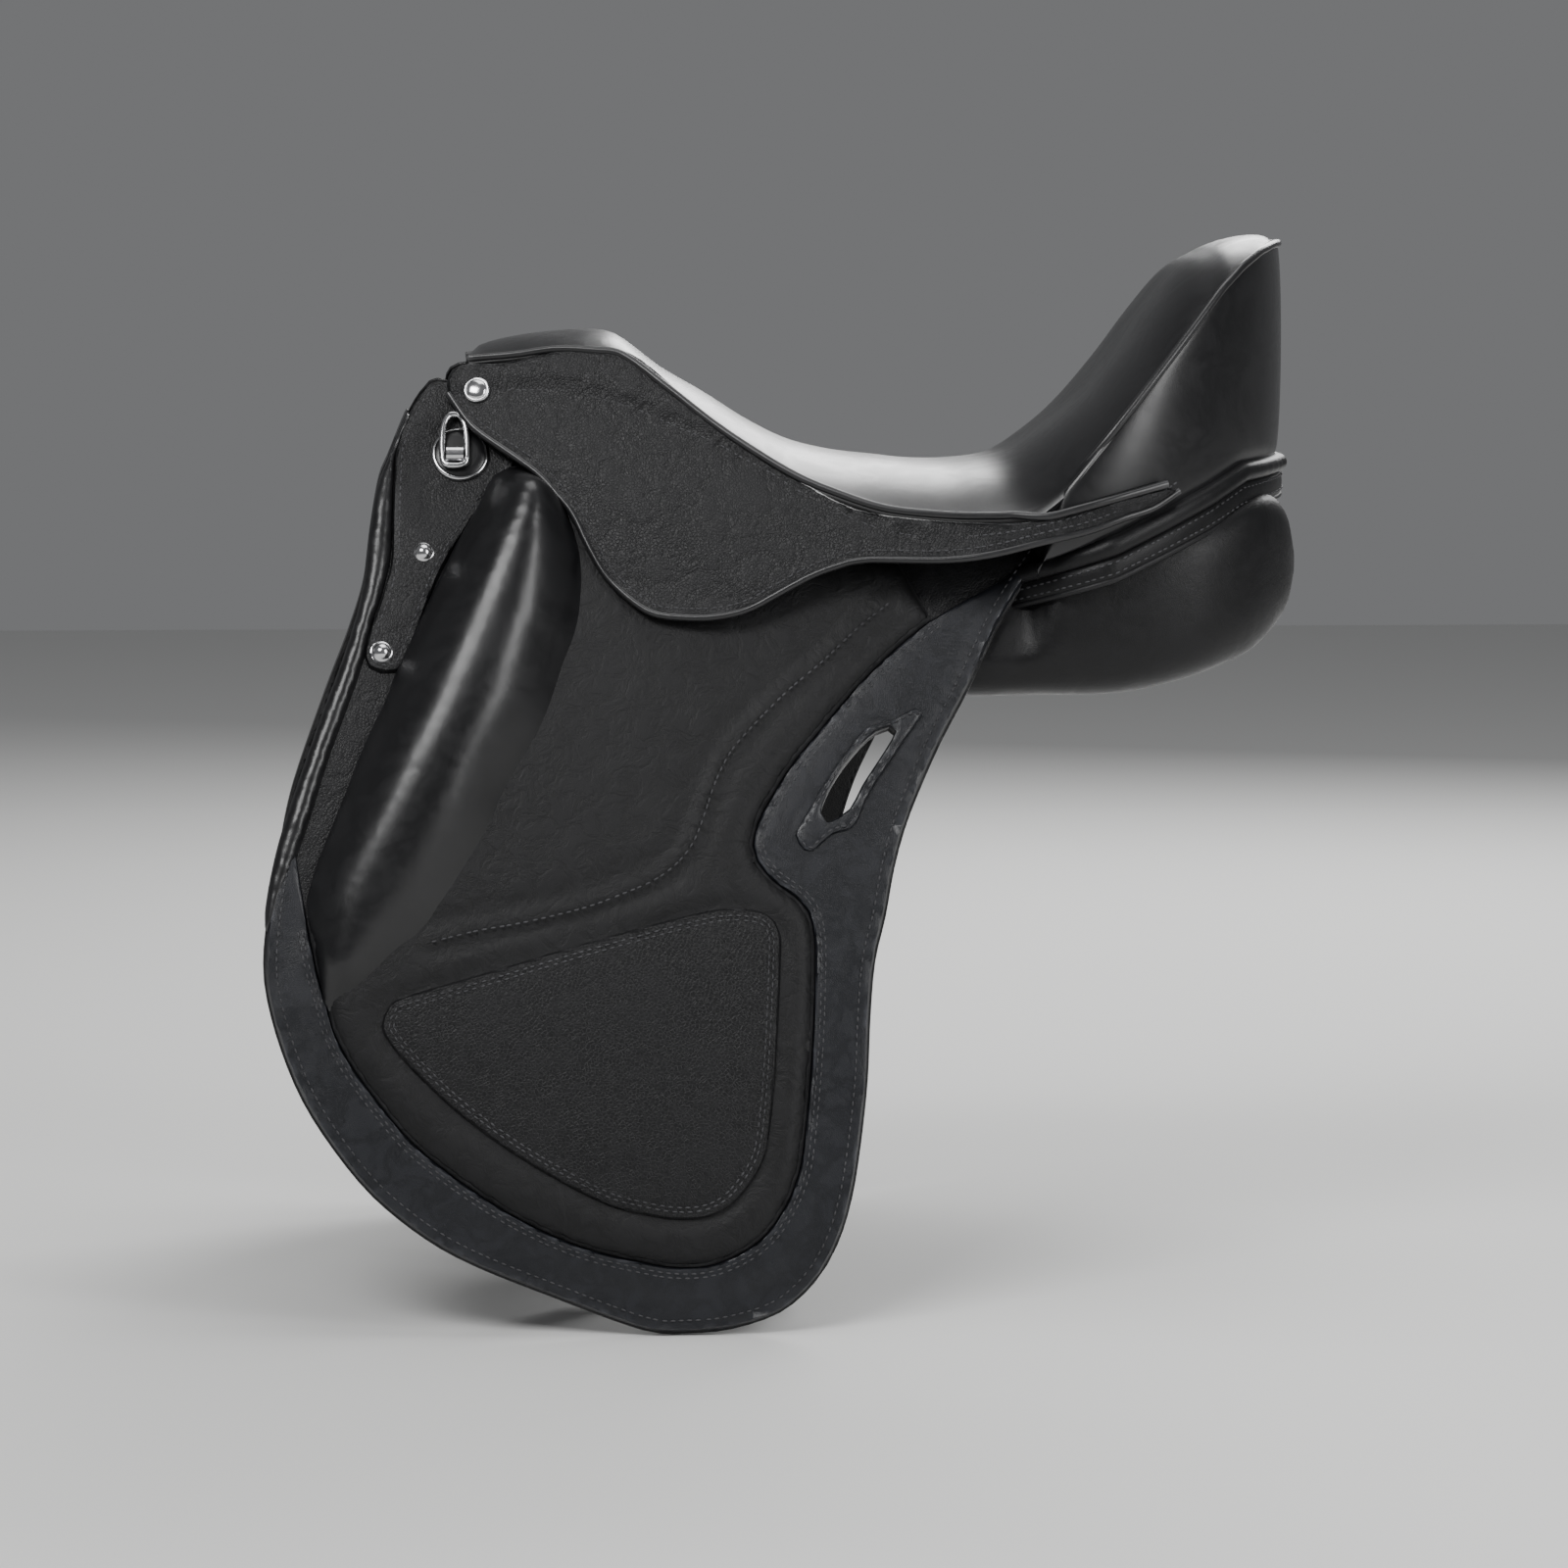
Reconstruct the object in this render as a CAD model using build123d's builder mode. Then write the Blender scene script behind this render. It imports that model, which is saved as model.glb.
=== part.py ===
from build123d import *
from math import sqrt
import os

# Monoflap dressage saddle, millimetres.  +X points to the cantle (rear), the near (left) side of
# the saddle is at -Y, and +Z is up.  The origin is on the centre line, in the channel between the
# two panels, under the deepest point of the seat.  Every left piece is mirrored to the right.

# ---------------------------------------------------------------- driving sizes
# leather and cloth
flap_leather = 5.0            # the flap is two skins sewn together
border_leather = 3.0
strap_leather = 3.0
skirt_leather = 4.0
cushion_swell = 8.0
patch_leather = 2.0
roll_swell = 6.0
cover_leather = 3.0
web_cloth = 2.5
fit_gap = 0.4                 # air between pieces that move or are laid over each other

# the flap hangs round the horse's barrel, on one arc about an axis along X
hang_radius = 1300.0
hang_axis_y = 1077.0
hang_axis_z = -490.0
flap_bottom = -351.0
flap_front = -355.0
border_width = 35.0

# line on which the flap bends when it is lifted: two points in side view (x, z)
flap_bend_front = (-292.0, 84.0)
flap_bend_rear = (56.0, 42.0)

# the skirt lies in one plane: y = -(skirt_out + skirt_fore * x + skirt_lean * z)
skirt_clear = 153.0               # from the centre plane to the flap's face under the bar
skirt_fore = 0.132
skirt_lean = -0.447
skirt_bend_front = (-222.0, 99.5)    # ahead of this the skirt is held by its nail
skirt_bend_rear = (44.0, 50.5)
skirt_drop = 12.0             # height of the skirt's lowest point

# seat and cantle
cantle_rear = 198.0
cantle_top = 213.0
cantle_radius = 140.0
cantle_wall = 5.0
bow_gap = 1.0
bow_wall = 10.0
welt_radius = 2.2

# tree
rail_width = 24.0
rail_height = 8.0
head_wall = 8.0
head_front = -248.0
head_length = 46.0
rivet_radius = 3.0

# panels
channel_half = 30.0
web_space = 12.0               # room between flap and panel for the girth webs

# stirrup bar
bar_x = -145.0
bar_z = 79.0
bar_length = 64.0
bar_plate = 2.5
bar_slot = 5.5
bar_finger = 4.0
skirt_out = skirt_clear + bar_plate + bar_slot + bar_finger
bar_height = 20.0
catch_pin_radius = 1.0
catch_clearance = 0.08

# girth billets
billet_width = 26.0
billet_leather = 4.0
billet_bottom_gap = 16.0
billet_x = (-172.0, -84.0)
billet_top = -24.0
billet_hole_radius = 2.5
billet_hole_pitch = 25.0
billet_holes = 8

# D-ring on its round plate
ring_x = -254.0
ring_z = 95.0
ring_plate_radius = 15.0
ring_plate_thick = 3.0
ring_wire = 1.75
ring_width = 13.0
ring_height = 17.0
ring_bend = 1.95
barrel_radius = 4.2
barrel_length = 9.0
barrel_clearance = 0.08

# nail at the skirt's front, and the two studs of the front strap
nail_place = (-242.0, 130.0)
nail_radius = 7.0
nail_height = 4.0
stud_radius = 5.6
stud_height = 3.5
stud_places = [(-271.0, 46.0), (-293.0, -5.0)]

# thigh block
block_height = 34.0
stud_taper = 24.0

# cut-out and embossed frame for a strap
keeper_width = 16.0
keeper_length = 50.0
keeper_centre = (-49.0, -71.0)
keeper_turn = 56.0
keeper_rim = 9.0

side_reach = 330.0            # farther out than any piece, for cutting outlines
x_reach = 460.0

os.makedirs("parts", exist_ok=True)


# ---------------------------------------------------------------- shared geometry
def hang_y(z, layer=0.0):
    """Distance from the centre plane to the flap's outer face, plus a layer, at height z."""
    return sqrt((hang_radius + layer) ** 2 - (z - hang_axis_z) ** 2) - hang_axis_y


def hang_plane(x, z, layer=0.0):
    """Plane lying on the left flap at (x, z): local x to the rear, local y up, normal outwards."""
    rise = (z - hang_axis_z) / hang_radius
    out = sqrt(1 - rise ** 2)
    y = -(out * (hang_radius + layer) - hang_axis_y)
    up = rise * (hang_radius + layer) + hang_axis_z
    return Plane(origin=(x, y, up), x_dir=(1, 0, 0), z_dir=(0, -out, rise))


def skirt_y(x, z):
    return -(skirt_out + skirt_fore * x + skirt_lean * z)


def skirt_plane(place, layer=0.0):
    """Plane on the left skirt's inner face at a side-view place, moved outwards by layer."""
    x, z = place
    face = Plane(
        origin=(x, skirt_y(x, z), z),
        x_dir=(1, -skirt_fore, 0),
        z_dir=(-skirt_fore, -1, -skirt_lean),
    )
    return face.offset(layer)


def line_z(front, rear, x):
    """Height of the straight line through two side-view points at x."""
    return front[1] + (rear[1] - front[1]) * (x - front[0]) / (rear[0] - front[0])


def flap_line(x, drop=0.0):
    return (x, line_z(flap_bend_front, flap_bend_rear, x) - drop)


def skirt_line(x, drop=0.0):
    return (x, line_z(skirt_bend_front, skirt_bend_rear, x) - drop)


def closed_shape(*runs):
    """Flat shape in side view, closed from runs of points; a run of three or more is a curve."""
    with BuildSketch(Plane.XZ) as shape:
        with BuildLine():
            last = None
            for run in runs:
                if last is not None and last != run[0]:
                    Line(last, run[0])
                if len(run) == 2:
                    Line(run[0], run[1])
                else:
                    Spline(*run)
                last = run[-1]
            if last != runs[0][0]:
                Line(last, runs[0][0])
        make_face()
    return shape.sketch


def hung_sheet(shape, inner, outer):
    """Sheet between two layers of the left flap, cut to a side-view shape."""
    with BuildPart() as sheet:
        with BuildSketch(Plane.YZ.offset(-x_reach)):
            with Locations((hang_axis_y, hang_axis_z)):
                Circle(hang_radius + outer)
                Circle(hang_radius + inner, mode=Mode.SUBTRACT)
        extrude(amount=2 * x_reach)
        with BuildSketch(Plane.XZ):
            add(shape)
        extrude(amount=side_reach, mode=Mode.INTERSECT)
    return sheet


def skirt_sheet(shape, inner, outer):
    """Sheet parallel to the left skirt, cut to a side-view shape."""
    with BuildPart() as sheet:
        with BuildSketch(skirt_plane(skirt_bend_front, inner)):
            Rectangle(2 * x_reach, x_reach)
        extrude(amount=outer - inner)
        with BuildSketch(Plane.XZ):
            add(shape)
        extrude(amount=side_reach, mode=Mode.INTERSECT)
    return sheet


def hand_in(piece, name):
    piece.part.label = name
    export_step(piece.part, f"parts/{name}.step")


def hand_in_pair(piece, name, left="left", right="right"):
    """Write a left piece and its mirror image."""
    hand_in(piece, f"{name}_{left}")
    with BuildPart() as other:
        mirror(piece.part, about=Plane.XZ)
    hand_in(other, f"{name}_{right}")


# ---------------------------------------------------------------- seat: foam, cover, welt
# heights along the seat: at its edge as (x, z), then at its centre
seat_edge = [(-246.0, 146.0), (-200.0, 151.0), (-165.0, 148.0), (-118.0, 112.0), (-74.0, 84.0),
             (-30.0, 68.0), (20.0, 64.0), (64.0, 68.0)]
seat_crown = [154.0, 162.0, 162.0, 126.0, 101.0, 95.0, 93.0, 99.0]
foam_depth = 7.5
edge_inset = 6.4
# behind the skirts the seat is a dish inside the cantle: distance ahead of the cantle's rear
dish = [(92.0, 112.0, 124.0, 62.0), (60.0, 140.0, 160.0, 82.0), (42.0, 168.0, 184.0, 112.0),
        (32.0, 188.0, 196.0, 140.0)]


def cantle_half(x, inset):
    """Half width of the cantle at x: its plan is a half circle that runs on as straight sides."""
    radius = cantle_radius - inset
    ahead = x - (cantle_rear - cantle_radius)
    return radius if ahead < 0 else sqrt(radius ** 2 - ahead ** 2)


def seat_stations():
    for (x, edge), crown in zip(seat_edge, seat_crown):
        side = -skirt_y(x, edge) - edge_inset - cover_leather
        half = min(side, cantle_half(x, cantle_wall + bow_gap + 2 * cover_leather))
        yield x, half, crown, edge, edge - foam_depth
    for ahead, crown, edge, under in dish:
        x = cantle_rear - ahead
        half = cantle_half(x, cantle_wall + bow_gap + bow_wall + cover_leather + 6)
        yield x, half, crown, edge, under


def seat_loft(swell, lift):
    """Seat solid; swell grows it sideways and upwards, lift raises its underside."""
    with BuildPart() as body:
        for x, half, crown, edge, under in seat_stations():
            with BuildSketch(Plane.YZ.offset(x)):
                with BuildLine():
                    wide = half + swell
                    Spline((-wide, edge + swell - 2), (0, crown + swell), (wide, edge + swell - 2))
                    Line((wide, edge + swell - 2), (wide, under + lift))
                    Line((wide, under + lift), (-wide, under + lift))
                    Line((-wide, under + lift), (-wide, edge + swell - 2))
                make_face()
        loft(ruled=True)
    return body


seat_foam = seat_loft(0, 0)
hand_in(seat_foam, "seat_foam")

with BuildPart() as seat_cover:
    add(seat_loft(cover_leather, foam_depth / 3).part)
    add(seat_foam.part, mode=Mode.SUBTRACT)
hand_in(seat_cover, "seat_cover")

with BuildPart() as seat_welt:
    for x, edge in seat_edge:
        with BuildSketch(Plane.YZ.offset(x)):
            with Locations((skirt_y(x, edge) + welt_radius + 1.5, edge + welt_radius + 0.5)):
                Circle(welt_radius)
    loft()
hand_in_pair(seat_welt, "seat_welt")

# ---------------------------------------------------------------- cantle: gusset, welt, bow
# side-view lines, measured ahead of the cantle's rear and below its top
rim = [(134.0, 147.0), (113.0, 109.0), (74.0, 62.0), (45.0, 27.0), (20.0, 7.0), (-4.0, 0.0)]
roll_top = [(148.0, 170.0), (105.0, 156.0), (52.0, 131.0), (31.0, 120.0), (-4.0, 116.0)]
roll_bottom = [(148.0, 178.0), (105.0, 168.0), (52.0, 143.0), (31.0, 131.0), (-4.0, 125.0)]
band_bottom = [(148.0, 191.0), (105.0, 180.0), (52.0, 156.0), (31.0, 145.0), (-4.0, 138.0)]


def cantle_line(points, drop=0.0):
    return [(cantle_rear - ahead, cantle_top - below - drop) for ahead, below in points]


def cantle_ring(inset, wall, shape):
    """Wall that follows the cantle's plan, cut to a side-view shape."""
    with BuildPart() as ring:
        with BuildSketch(Plane.XY.offset(-60)):
            with Locations((cantle_rear - cantle_radius, 0)):
                Circle(cantle_radius - inset)
                Circle(cantle_radius - inset - wall, mode=Mode.SUBTRACT)
        extrude(amount=cantle_top + 80)
        with BuildSketch(Plane.XZ):
            add(shape)
        extrude(amount=side_reach, both=True, mode=Mode.INTERSECT)
    return ring


def between(upper, lower):
    return closed_shape(upper, lower[::-1])


welt_drop = 2 * welt_radius
cantle_gusset = cantle_ring(0, cantle_wall, between(cantle_line(rim, welt_drop), cantle_line(roll_top)))
hand_in(cantle_gusset, "cantle_gusset")

cantle_welt = cantle_ring(0, cantle_wall, between(cantle_line(rim), cantle_line(rim, welt_drop)))
hand_in(cantle_welt, "cantle_welt")

bow_top = cantle_line(rim[1:], 16)
bow_bottom = cantle_line(roll_top[1:], -4)
cantle_bow = cantle_ring(cantle_wall + bow_gap, bow_wall, between(bow_top, bow_bottom))
hand_in(cantle_bow, "cantle_bow")

panel_roll = cantle_ring(0, 9, between(cantle_line(roll_top), cantle_line(roll_bottom)))
hand_in(panel_roll, "panel_roll")

panel_band = cantle_ring(2, cantle_wall, between(cantle_line(roll_bottom), cantle_line(band_bottom)))
hand_in(panel_band, "panel_band")

# ---------------------------------------------------------------- tree: head, rails, rivets, web
rail_path = [(head_front + head_length, 50.0), (-118.0, 56.0), (-60.0, 64.0), (0.0, 74.0),
             (60.0, 88.0), (cantle_rear - 60, 86.0)]
rail_top = [130.0, 96.0, 64.0, 48.0, 46.0, 56.0]
web_stations = (10.0, 45.0, 80.0)
web_top = 52.5
web_width = 30.0
web_reach = 84.0
rivet_places = [(12.0, 24.0), (34.0, 24.0)]

with BuildPart() as left_rail:
    for (x, y), top in zip(rail_path, rail_top):
        with BuildSketch(Plane.YZ.offset(x)):
            with Locations((-y, top - rail_height / 2)):
                Rectangle(rail_width, rail_height)
    loft()
with BuildPart() as tree_rails:
    add(left_rail.part)
    mirror(left_rail.part, about=Plane.XZ)
hand_in(tree_rails, "tree_rails")

head_top = 132.0
head_foot = 22.0
head_out = fit_gap + 2.6      # the straight legs stay inside the arc of the flap

with BuildPart() as tree_head:
    with BuildSketch(Plane.YZ.offset(head_front)):
        with BuildLine():
            leg_top = hang_y(head_top - 12, -flap_leather - head_out)
            leg_foot = hang_y(head_foot, -flap_leather - head_out)
            Polyline((-leg_foot, head_foot), (-leg_top, head_top - 12), (-leg_top + 14, head_top),
                     (leg_top - 14, head_top), (leg_top, head_top - 12), (leg_foot, head_foot),
                     (leg_foot - head_wall, head_foot), (leg_top - head_wall - 3, head_top - 20),
                     (leg_top - 22, head_top - head_wall), (-leg_top + 22, head_top - head_wall),
                     (-leg_top + head_wall + 3, head_top - 20), (-leg_foot + head_wall, head_foot),
                     close=True)
        make_face()
    extrude(amount=head_length)
hand_in(tree_head, "tree_head")

with BuildPart() as seat_web:
    with BuildSketch(Plane.XY.offset(web_top)):
        with Locations(*[(x, 0) for x in web_stations]):
            Rectangle(web_width, 2 * web_reach)
    extrude(amount=-web_cloth)
hand_in(seat_web, "seat_web")

with BuildPart() as tree_rivets:
    with BuildSketch(Plane.XY.offset(head_top)):
        with Locations(*[(head_front + x, side * y) for x, y in rivet_places for side in (-1, 1)]):
            Circle(rivet_radius)
    extrude(amount=1.8)
hand_in(tree_rivets, "tree_rivets")

# ---------------------------------------------------------------- panels and channel lining
# stations: x, height of the middle, thickness, height, lean
front_panel = [(-250.0, 40.0, 20.0, 70.0, 25.0), (-195.0, 26.0, 32.0, 96.0, 24.0),
               (-120.0, 22.0, 38.0, 78.0, 24.0), (-40.0, 6.0, 48.0, 62.0, 20.0)]
rear_panel = [(158.0, -4.0, 84.0, 50.0, 6.0), (100.0, -2.0, 98.0, 56.0, 3.0),
              (40.0, 18.0, 92.0, 60.0, 0.0), (10.0, 38.0, 62.0, 52.0, 0.0), (-2.0, 40.0, 30.0, 30.0, 0.0)]

with BuildPart() as panel:
    for x, z, thick, high, lean in front_panel:
        outer = hang_y(z, -flap_leather - web_space - head_wall)
        with BuildSketch(Plane.YZ.offset(x)):
            with Locations((-outer + thick / 2, z)):
                RectangleRounded(thick, high, thick * 0.4, rotation=-lean)
    for ahead, z, wide, high, lean in rear_panel:
        with BuildSketch(Plane.YZ.offset(cantle_rear - ahead)):
            with Locations((-channel_half - wide / 2, z)):
                RectangleRounded(wide, high, high * 0.4, rotation=-lean)
    loft()
hand_in_pair(panel, "panel")

channel_roof = [(-196.0, 118.0), (-118.0, 82.0), (-60.0, 50.0), (0.0, 35.0), (60.0, 33.0),
                (cantle_rear - 60, 43.0)]
channel_floor = [(x, z - web_cloth) for x, z in channel_roof]

with BuildPart() as gullet_lining:
    with BuildSketch(Plane.XZ):
        add(between(channel_roof, channel_floor))
    extrude(amount=channel_half - 4, both=True)
hand_in(gullet_lining, "gullet_lining")

# ---------------------------------------------------------------- flap and what is sewn to it
# side-view outline, from the bend at the front, down, round the bottom and up to the bend behind
front_edge = [flap_line(-285.0, 1.0), (-303.0, -7.0), (-345.0, -127.0), (flap_front, -165.0)]
flap_edge = [(flap_front, -165.0), (-320.0, -256.0), (-248.0, flap_bottom + 36), (-138.0, flap_bottom),
             (-76.0, flap_bottom + 22), (-48.0, -262.0), (-38.0, -163.0), (-14.0, -79.0),
             flap_line(56.0, 1.0)]
block_front = [(-284.0, -14.0), (-310.0, -72.0), (-331.0, -128.0), (-330.0, -158.0), (-322.0, -184.0)]
block_rear = [(-322.0, -184.0), (-282.0, -160.0), (-245.0, -116.0), (-204.0, -41.0), (-187.0, 7.0)]
block_top = [(-187.0, 7.0), (-186.0, 40.0), (-203.0, 68.0)]
block_side = [(x + 1.5 * fit_gap, z - fit_gap) for x, z in block_rear]
cushion_edge = [block_side[0], (-299.0, -228.0), (-223.0, flap_bottom + 59),
                (-141.0, flap_bottom + border_width), (-100.0, flap_bottom + 47), (-77.0, -250.0),
                (-70.0, -160.0), (-80.0, -130.0), (-101.0, -104.0), (-79.0, -62.0), (-47.0, -26.0),
                flap_line(4.0, 7.0)]
strap_front = [flap_line(-284.0, 5.0), (-289.0, 42.0), (-303.0, -7.0)]
strap_rear = [(-284.0, -14.0), (-257.0, 44.0), (-246.0, 64.0)]
roll_edge = [flap_line(-292.0, 2.0), (-303.0, 24.0), (-325.0, -40.0), (-352.0, -122.0)]


flap_shape = closed_shape(front_edge, flap_edge)
block_shape = closed_shape(block_front, block_rear, block_top,
                           [(-203.0, 68.0), (-232.0, 70.0)], [(-232.0, 70.0), (-257.0, 44.0)])
cushion_shape = closed_shape(cushion_edge, [flap_line(4.0, 7.0), flap_line(-182.0, 14.0)],
                             [flap_line(-182.0, 14.0), (-182.0, 8.0)], block_side[::-1])
inside_border = closed_shape(
    [(-400.0, 200.0), (-400.0, -22.0)], [(-400.0, -22.0), (-291.0, -22.0)],
    [(-291.0, -22.0), (-312.5, -72.0), (-333.5, -126.0), (-333.0, -158.0), (-325.0, -186.0)],
    cushion_edge, [flap_line(4.0, 7.0), flap_line(90.0, 7.0)], [flap_line(90.0, 7.0), (90.0, 200.0)])


def slot_shape(grow):
    """Long rounded opening for a strap, in side view."""
    with BuildSketch(Plane.XZ) as slot:
        with Locations(keeper_centre):
            SlotOverall(keeper_length + 2 * grow, keeper_width + 2 * grow, rotation=keeper_turn)
    return slot.sketch


def cut_slot(sheet, grow=0.0):
    with BuildPart() as open_sheet:
        add(sheet.part)
        with BuildSketch(Plane.XZ):
            add(slot_shape(grow))
        extrude(amount=side_reach, mode=Mode.SUBTRACT)
    return open_sheet


flap = cut_slot(hung_sheet(flap_shape, -flap_leather, 0))
hand_in_pair(flap, "flap")

with BuildSketch(Plane.XZ) as border_shape:
    add(flap_shape)
    add(inside_border, mode=Mode.SUBTRACT)
flap_border = cut_slot(hung_sheet(border_shape.sketch, 0, border_leather), keeper_rim)
hand_in_pair(flap_border, "flap_border")

flap_cushion = hung_sheet(cushion_shape, 0, cushion_swell)
hand_in_pair(flap_cushion, "flap_cushion")

patch_edge = [(-294.0, -194.0), (-282.0, -179.0), (-191.0, -154.0), (-112.0, -136.0), (-92.0, -140.0),
              (-88.0, -167.0), (-95.0, -250.0), (-118.0, -287.0), (-145.0, -292.0), (-184.0, -283.0),
              (-253.0, -240.0), (-290.0, -204.0)]
grip_patch = hung_sheet(closed_shape(patch_edge), cushion_swell, cushion_swell + patch_leather)
hand_in_pair(grip_patch, "grip_patch")

with BuildSketch(Plane.XZ) as keeper_shape:
    add(slot_shape(keeper_rim))
    add(slot_shape(0), mode=Mode.SUBTRACT)
keeper_frame = hung_sheet(keeper_shape.sketch, 0, border_leather + 2)
hand_in_pair(keeper_frame, "keeper_frame")

front_strap = hung_sheet(closed_shape(strap_front, strap_rear), 0, strap_leather)
hand_in_pair(front_strap, "front_strap")

with BuildSketch(Plane.XZ) as roll_shape:
    add(closed_shape(roll_edge, [(-300.0, -120.0), flap_line(-270.0, 2.0)]))
    add(flap_shape, mode=Mode.SUBTRACT)
front_roll = hung_sheet(roll_shape.sketch, -flap_leather, roll_swell)
hand_in_pair(front_roll, "front_roll")

with BuildPart() as thigh_block:
    with BuildSketch(Plane.XZ.offset(110)):
        add(block_shape)
    extrude(amount=side_reach)
    with BuildSketch(Plane.YZ.offset(-x_reach)):
        with Locations((hang_axis_y, hang_axis_z)):
            Circle(hang_radius + block_height)
            Circle(hang_radius, mode=Mode.SUBTRACT)
    extrude(amount=2 * x_reach, mode=Mode.INTERSECT)
    # the top slopes away from the flap's bend
    bend = hang_plane(*flap_line(-240.0, 6.0))
    with BuildSketch(bend.rotated((-40, 0, 0))):
        Rectangle(2 * x_reach, 4 * block_height)
    extrude(amount=side_reach, mode=Mode.SUBTRACT)
hand_in_pair(thigh_block, "thigh_block")

with BuildPart() as dome_studs:
    for x, z in stud_places:
        with BuildSketch(hang_plane(x, z, strap_leather)):
            Circle(stud_radius)
        extrude(amount=stud_height, taper=stud_taper)
hand_in_pair(dome_studs, "dome_studs")

# ---------------------------------------------------------------- fixed top of the flap
head_edge = [flap_line(-290.0, -1.0), (-283.0, 110.0), (-272.0, 128.0), (-260.0, 135.0)]
flap_head = hung_sheet(
    closed_shape(head_edge, [(-260.0, 135.0), (-150.0, 110.0)],
                 [(-150.0, 110.0), (-118.0, 96.0), (-74.0, 69.5), (-34.0, 56.5)],
                 [(-34.0, 56.5), flap_line(40.0, -4.0)]), -flap_leather, 0)
hand_in_pair(flap_head, "flap_head")

# ---------------------------------------------------------------- skirt, its piping and its yoke
skirt_low = [(-219.0, 93.0), (-204.0, 80.0), (-188.0, 54.0), (-160.0, 20.0), (-136.0, skirt_drop),
             (-104.0, 16.0), (-56.0, 39.0), (-18.0, 43.0), (30.0, 47.0)]
piping = 2.5


def skirt_outline(grow):
    low = [(x, z - grow) for x, z in skirt_low]
    front = skirt_line(low[0][0], 1.0)
    rear = skirt_line(low[-1][0], 1.0)
    return closed_shape(low, [rear, front])


skirt = skirt_sheet(skirt_outline(0), 0, skirt_leather)
hand_in_pair(skirt, "skirt")

with BuildSketch(Plane.XZ) as piping_shape:
    add(skirt_outline(piping))
    add(skirt_outline(0), mode=Mode.SUBTRACT)
skirt_piping = skirt_sheet(piping_shape.sketch, 0, skirt_leather + 1)
hand_in_pair(skirt_piping, "skirt_piping")

yoke_top = [(x, z - 1) for x, z in seat_edge]
yoke_front = [(-222.0, 95.5), (-244.0, 113.0), (-257.0, 131.0), (-254.0, 141.0), yoke_top[0]]
tail_top = [yoke_top[-1], (78.0, 69.0)]
tail_low = [tail_top[-1], (66.0, 56.0), (32.0, 47.5)]
skirt_yoke = skirt_sheet(
    closed_shape(yoke_front, yoke_top, tail_top, tail_low,
                 [skirt_line(32.0, -1.0), skirt_line(-222.0, -1.0)]), 0, skirt_leather)
hand_in_pair(skirt_yoke, "skirt_yoke")

with BuildPart() as skirt_nail:
    with BuildSketch(skirt_plane(nail_place, skirt_leather)):
        Circle(nail_radius)
    extrude(amount=nail_height, taper=20)
hand_in_pair(skirt_nail, "skirt_nail")

# ---------------------------------------------------------------- stirrup bar and its catch
bar_face = hang_plane(bar_x, bar_z, fit_gap)
pin_local = (bar_length / 2 + 4.0, 0.0)
pin_height = bar_plate + catch_pin_radius + 1.6
lug = 3.0

with BuildPart() as stirrup_bar:
    with BuildSketch(bar_face):
        Rectangle(bar_length, bar_height)
    extrude(amount=bar_plate)
    with BuildSketch(bar_face.offset(bar_plate)):
        with Locations((-bar_length / 2 + 6, 0)):
            Rectangle(12, 10)
    extrude(amount=bar_slot)
    with BuildSketch(bar_face.offset(bar_plate + bar_slot)):
        with Locations((-2, 0)):
            Rectangle(bar_length - 4, 10)
    extrude(amount=bar_finger)
    with BuildSketch(bar_face):
        with Locations((bar_length / 2 + 3, bar_height / 2 - lug / 2),
                       (bar_length / 2 + 3, lug / 2 - bar_height / 2)):
            Rectangle(10, lug)
    extrude(amount=pin_height + catch_pin_radius + 1)
    with BuildSketch(Plane(origin=bar_face.from_local_coords((pin_local[0], -bar_height / 2 + lug, pin_height)),
                           x_dir=bar_face.x_dir, z_dir=bar_face.y_dir)):
        Circle(catch_pin_radius)
    extrude(amount=bar_height - 2 * lug)
hand_in_pair(stirrup_bar, "stirrup_bar")

catch_wide = bar_height - 2 * lug - 1.0
with BuildPart() as bar_catch:
    with BuildSketch(Plane(origin=bar_face.from_local_coords((pin_local[0], -catch_wide / 2, pin_height)),
                           x_dir=bar_face.x_dir, z_dir=bar_face.y_dir)):
        Circle(catch_pin_radius + 1.4)
        with Locations((8, 0)):
            Rectangle(14, 2 * catch_pin_radius)
        Circle(catch_pin_radius + catch_clearance, mode=Mode.SUBTRACT)
    extrude(amount=catch_wide)
hand_in_pair(bar_catch, "bar_catch")

# ---------------------------------------------------------------- girth webs and billets
web_outer = -flap_leather - 4.5
web_half = 16.0
web_top = 40.0
web_low = billet_top + 5.0       # clear of the billet's corners as it swings
with BuildSketch(Plane.XZ) as web_shape:
    for x in billet_x:
        with BuildLine():
            Polyline((x - web_half, web_top), (x - web_half, web_low), (x + web_half, web_low), (x + web_half, web_top),
                     close=True)
        make_face()
billet_webs = hung_sheet(web_shape.sketch, web_outer - web_cloth, web_outer)
hand_in_pair(billet_webs, "billet_webs")

billet_top_out = hang_y(billet_top, web_outer - web_cloth) - 2 * billet_leather - 2.0
for order, x, depth in zip(("front", "rear"), billet_x, (0.0, billet_leather + 1.5)):
    length = billet_top - (flap_bottom + billet_bottom_gap)
    with BuildPart() as billet:
        with BuildSketch(Plane.XZ.offset(billet_top_out + depth)):
            with Locations((x, billet_top - length / 2)):
                Rectangle(billet_width, length)
                with Locations((0, -length / 2 + 30 + billet_hole_pitch * (billet_holes - 1) / 2)):
                    with GridLocations(1, billet_hole_pitch, 1, billet_holes):
                        Circle(billet_hole_radius, mode=Mode.SUBTRACT)
        extrude(amount=billet_leather)
    hand_in_pair(billet, f"{order}_billet")

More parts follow.
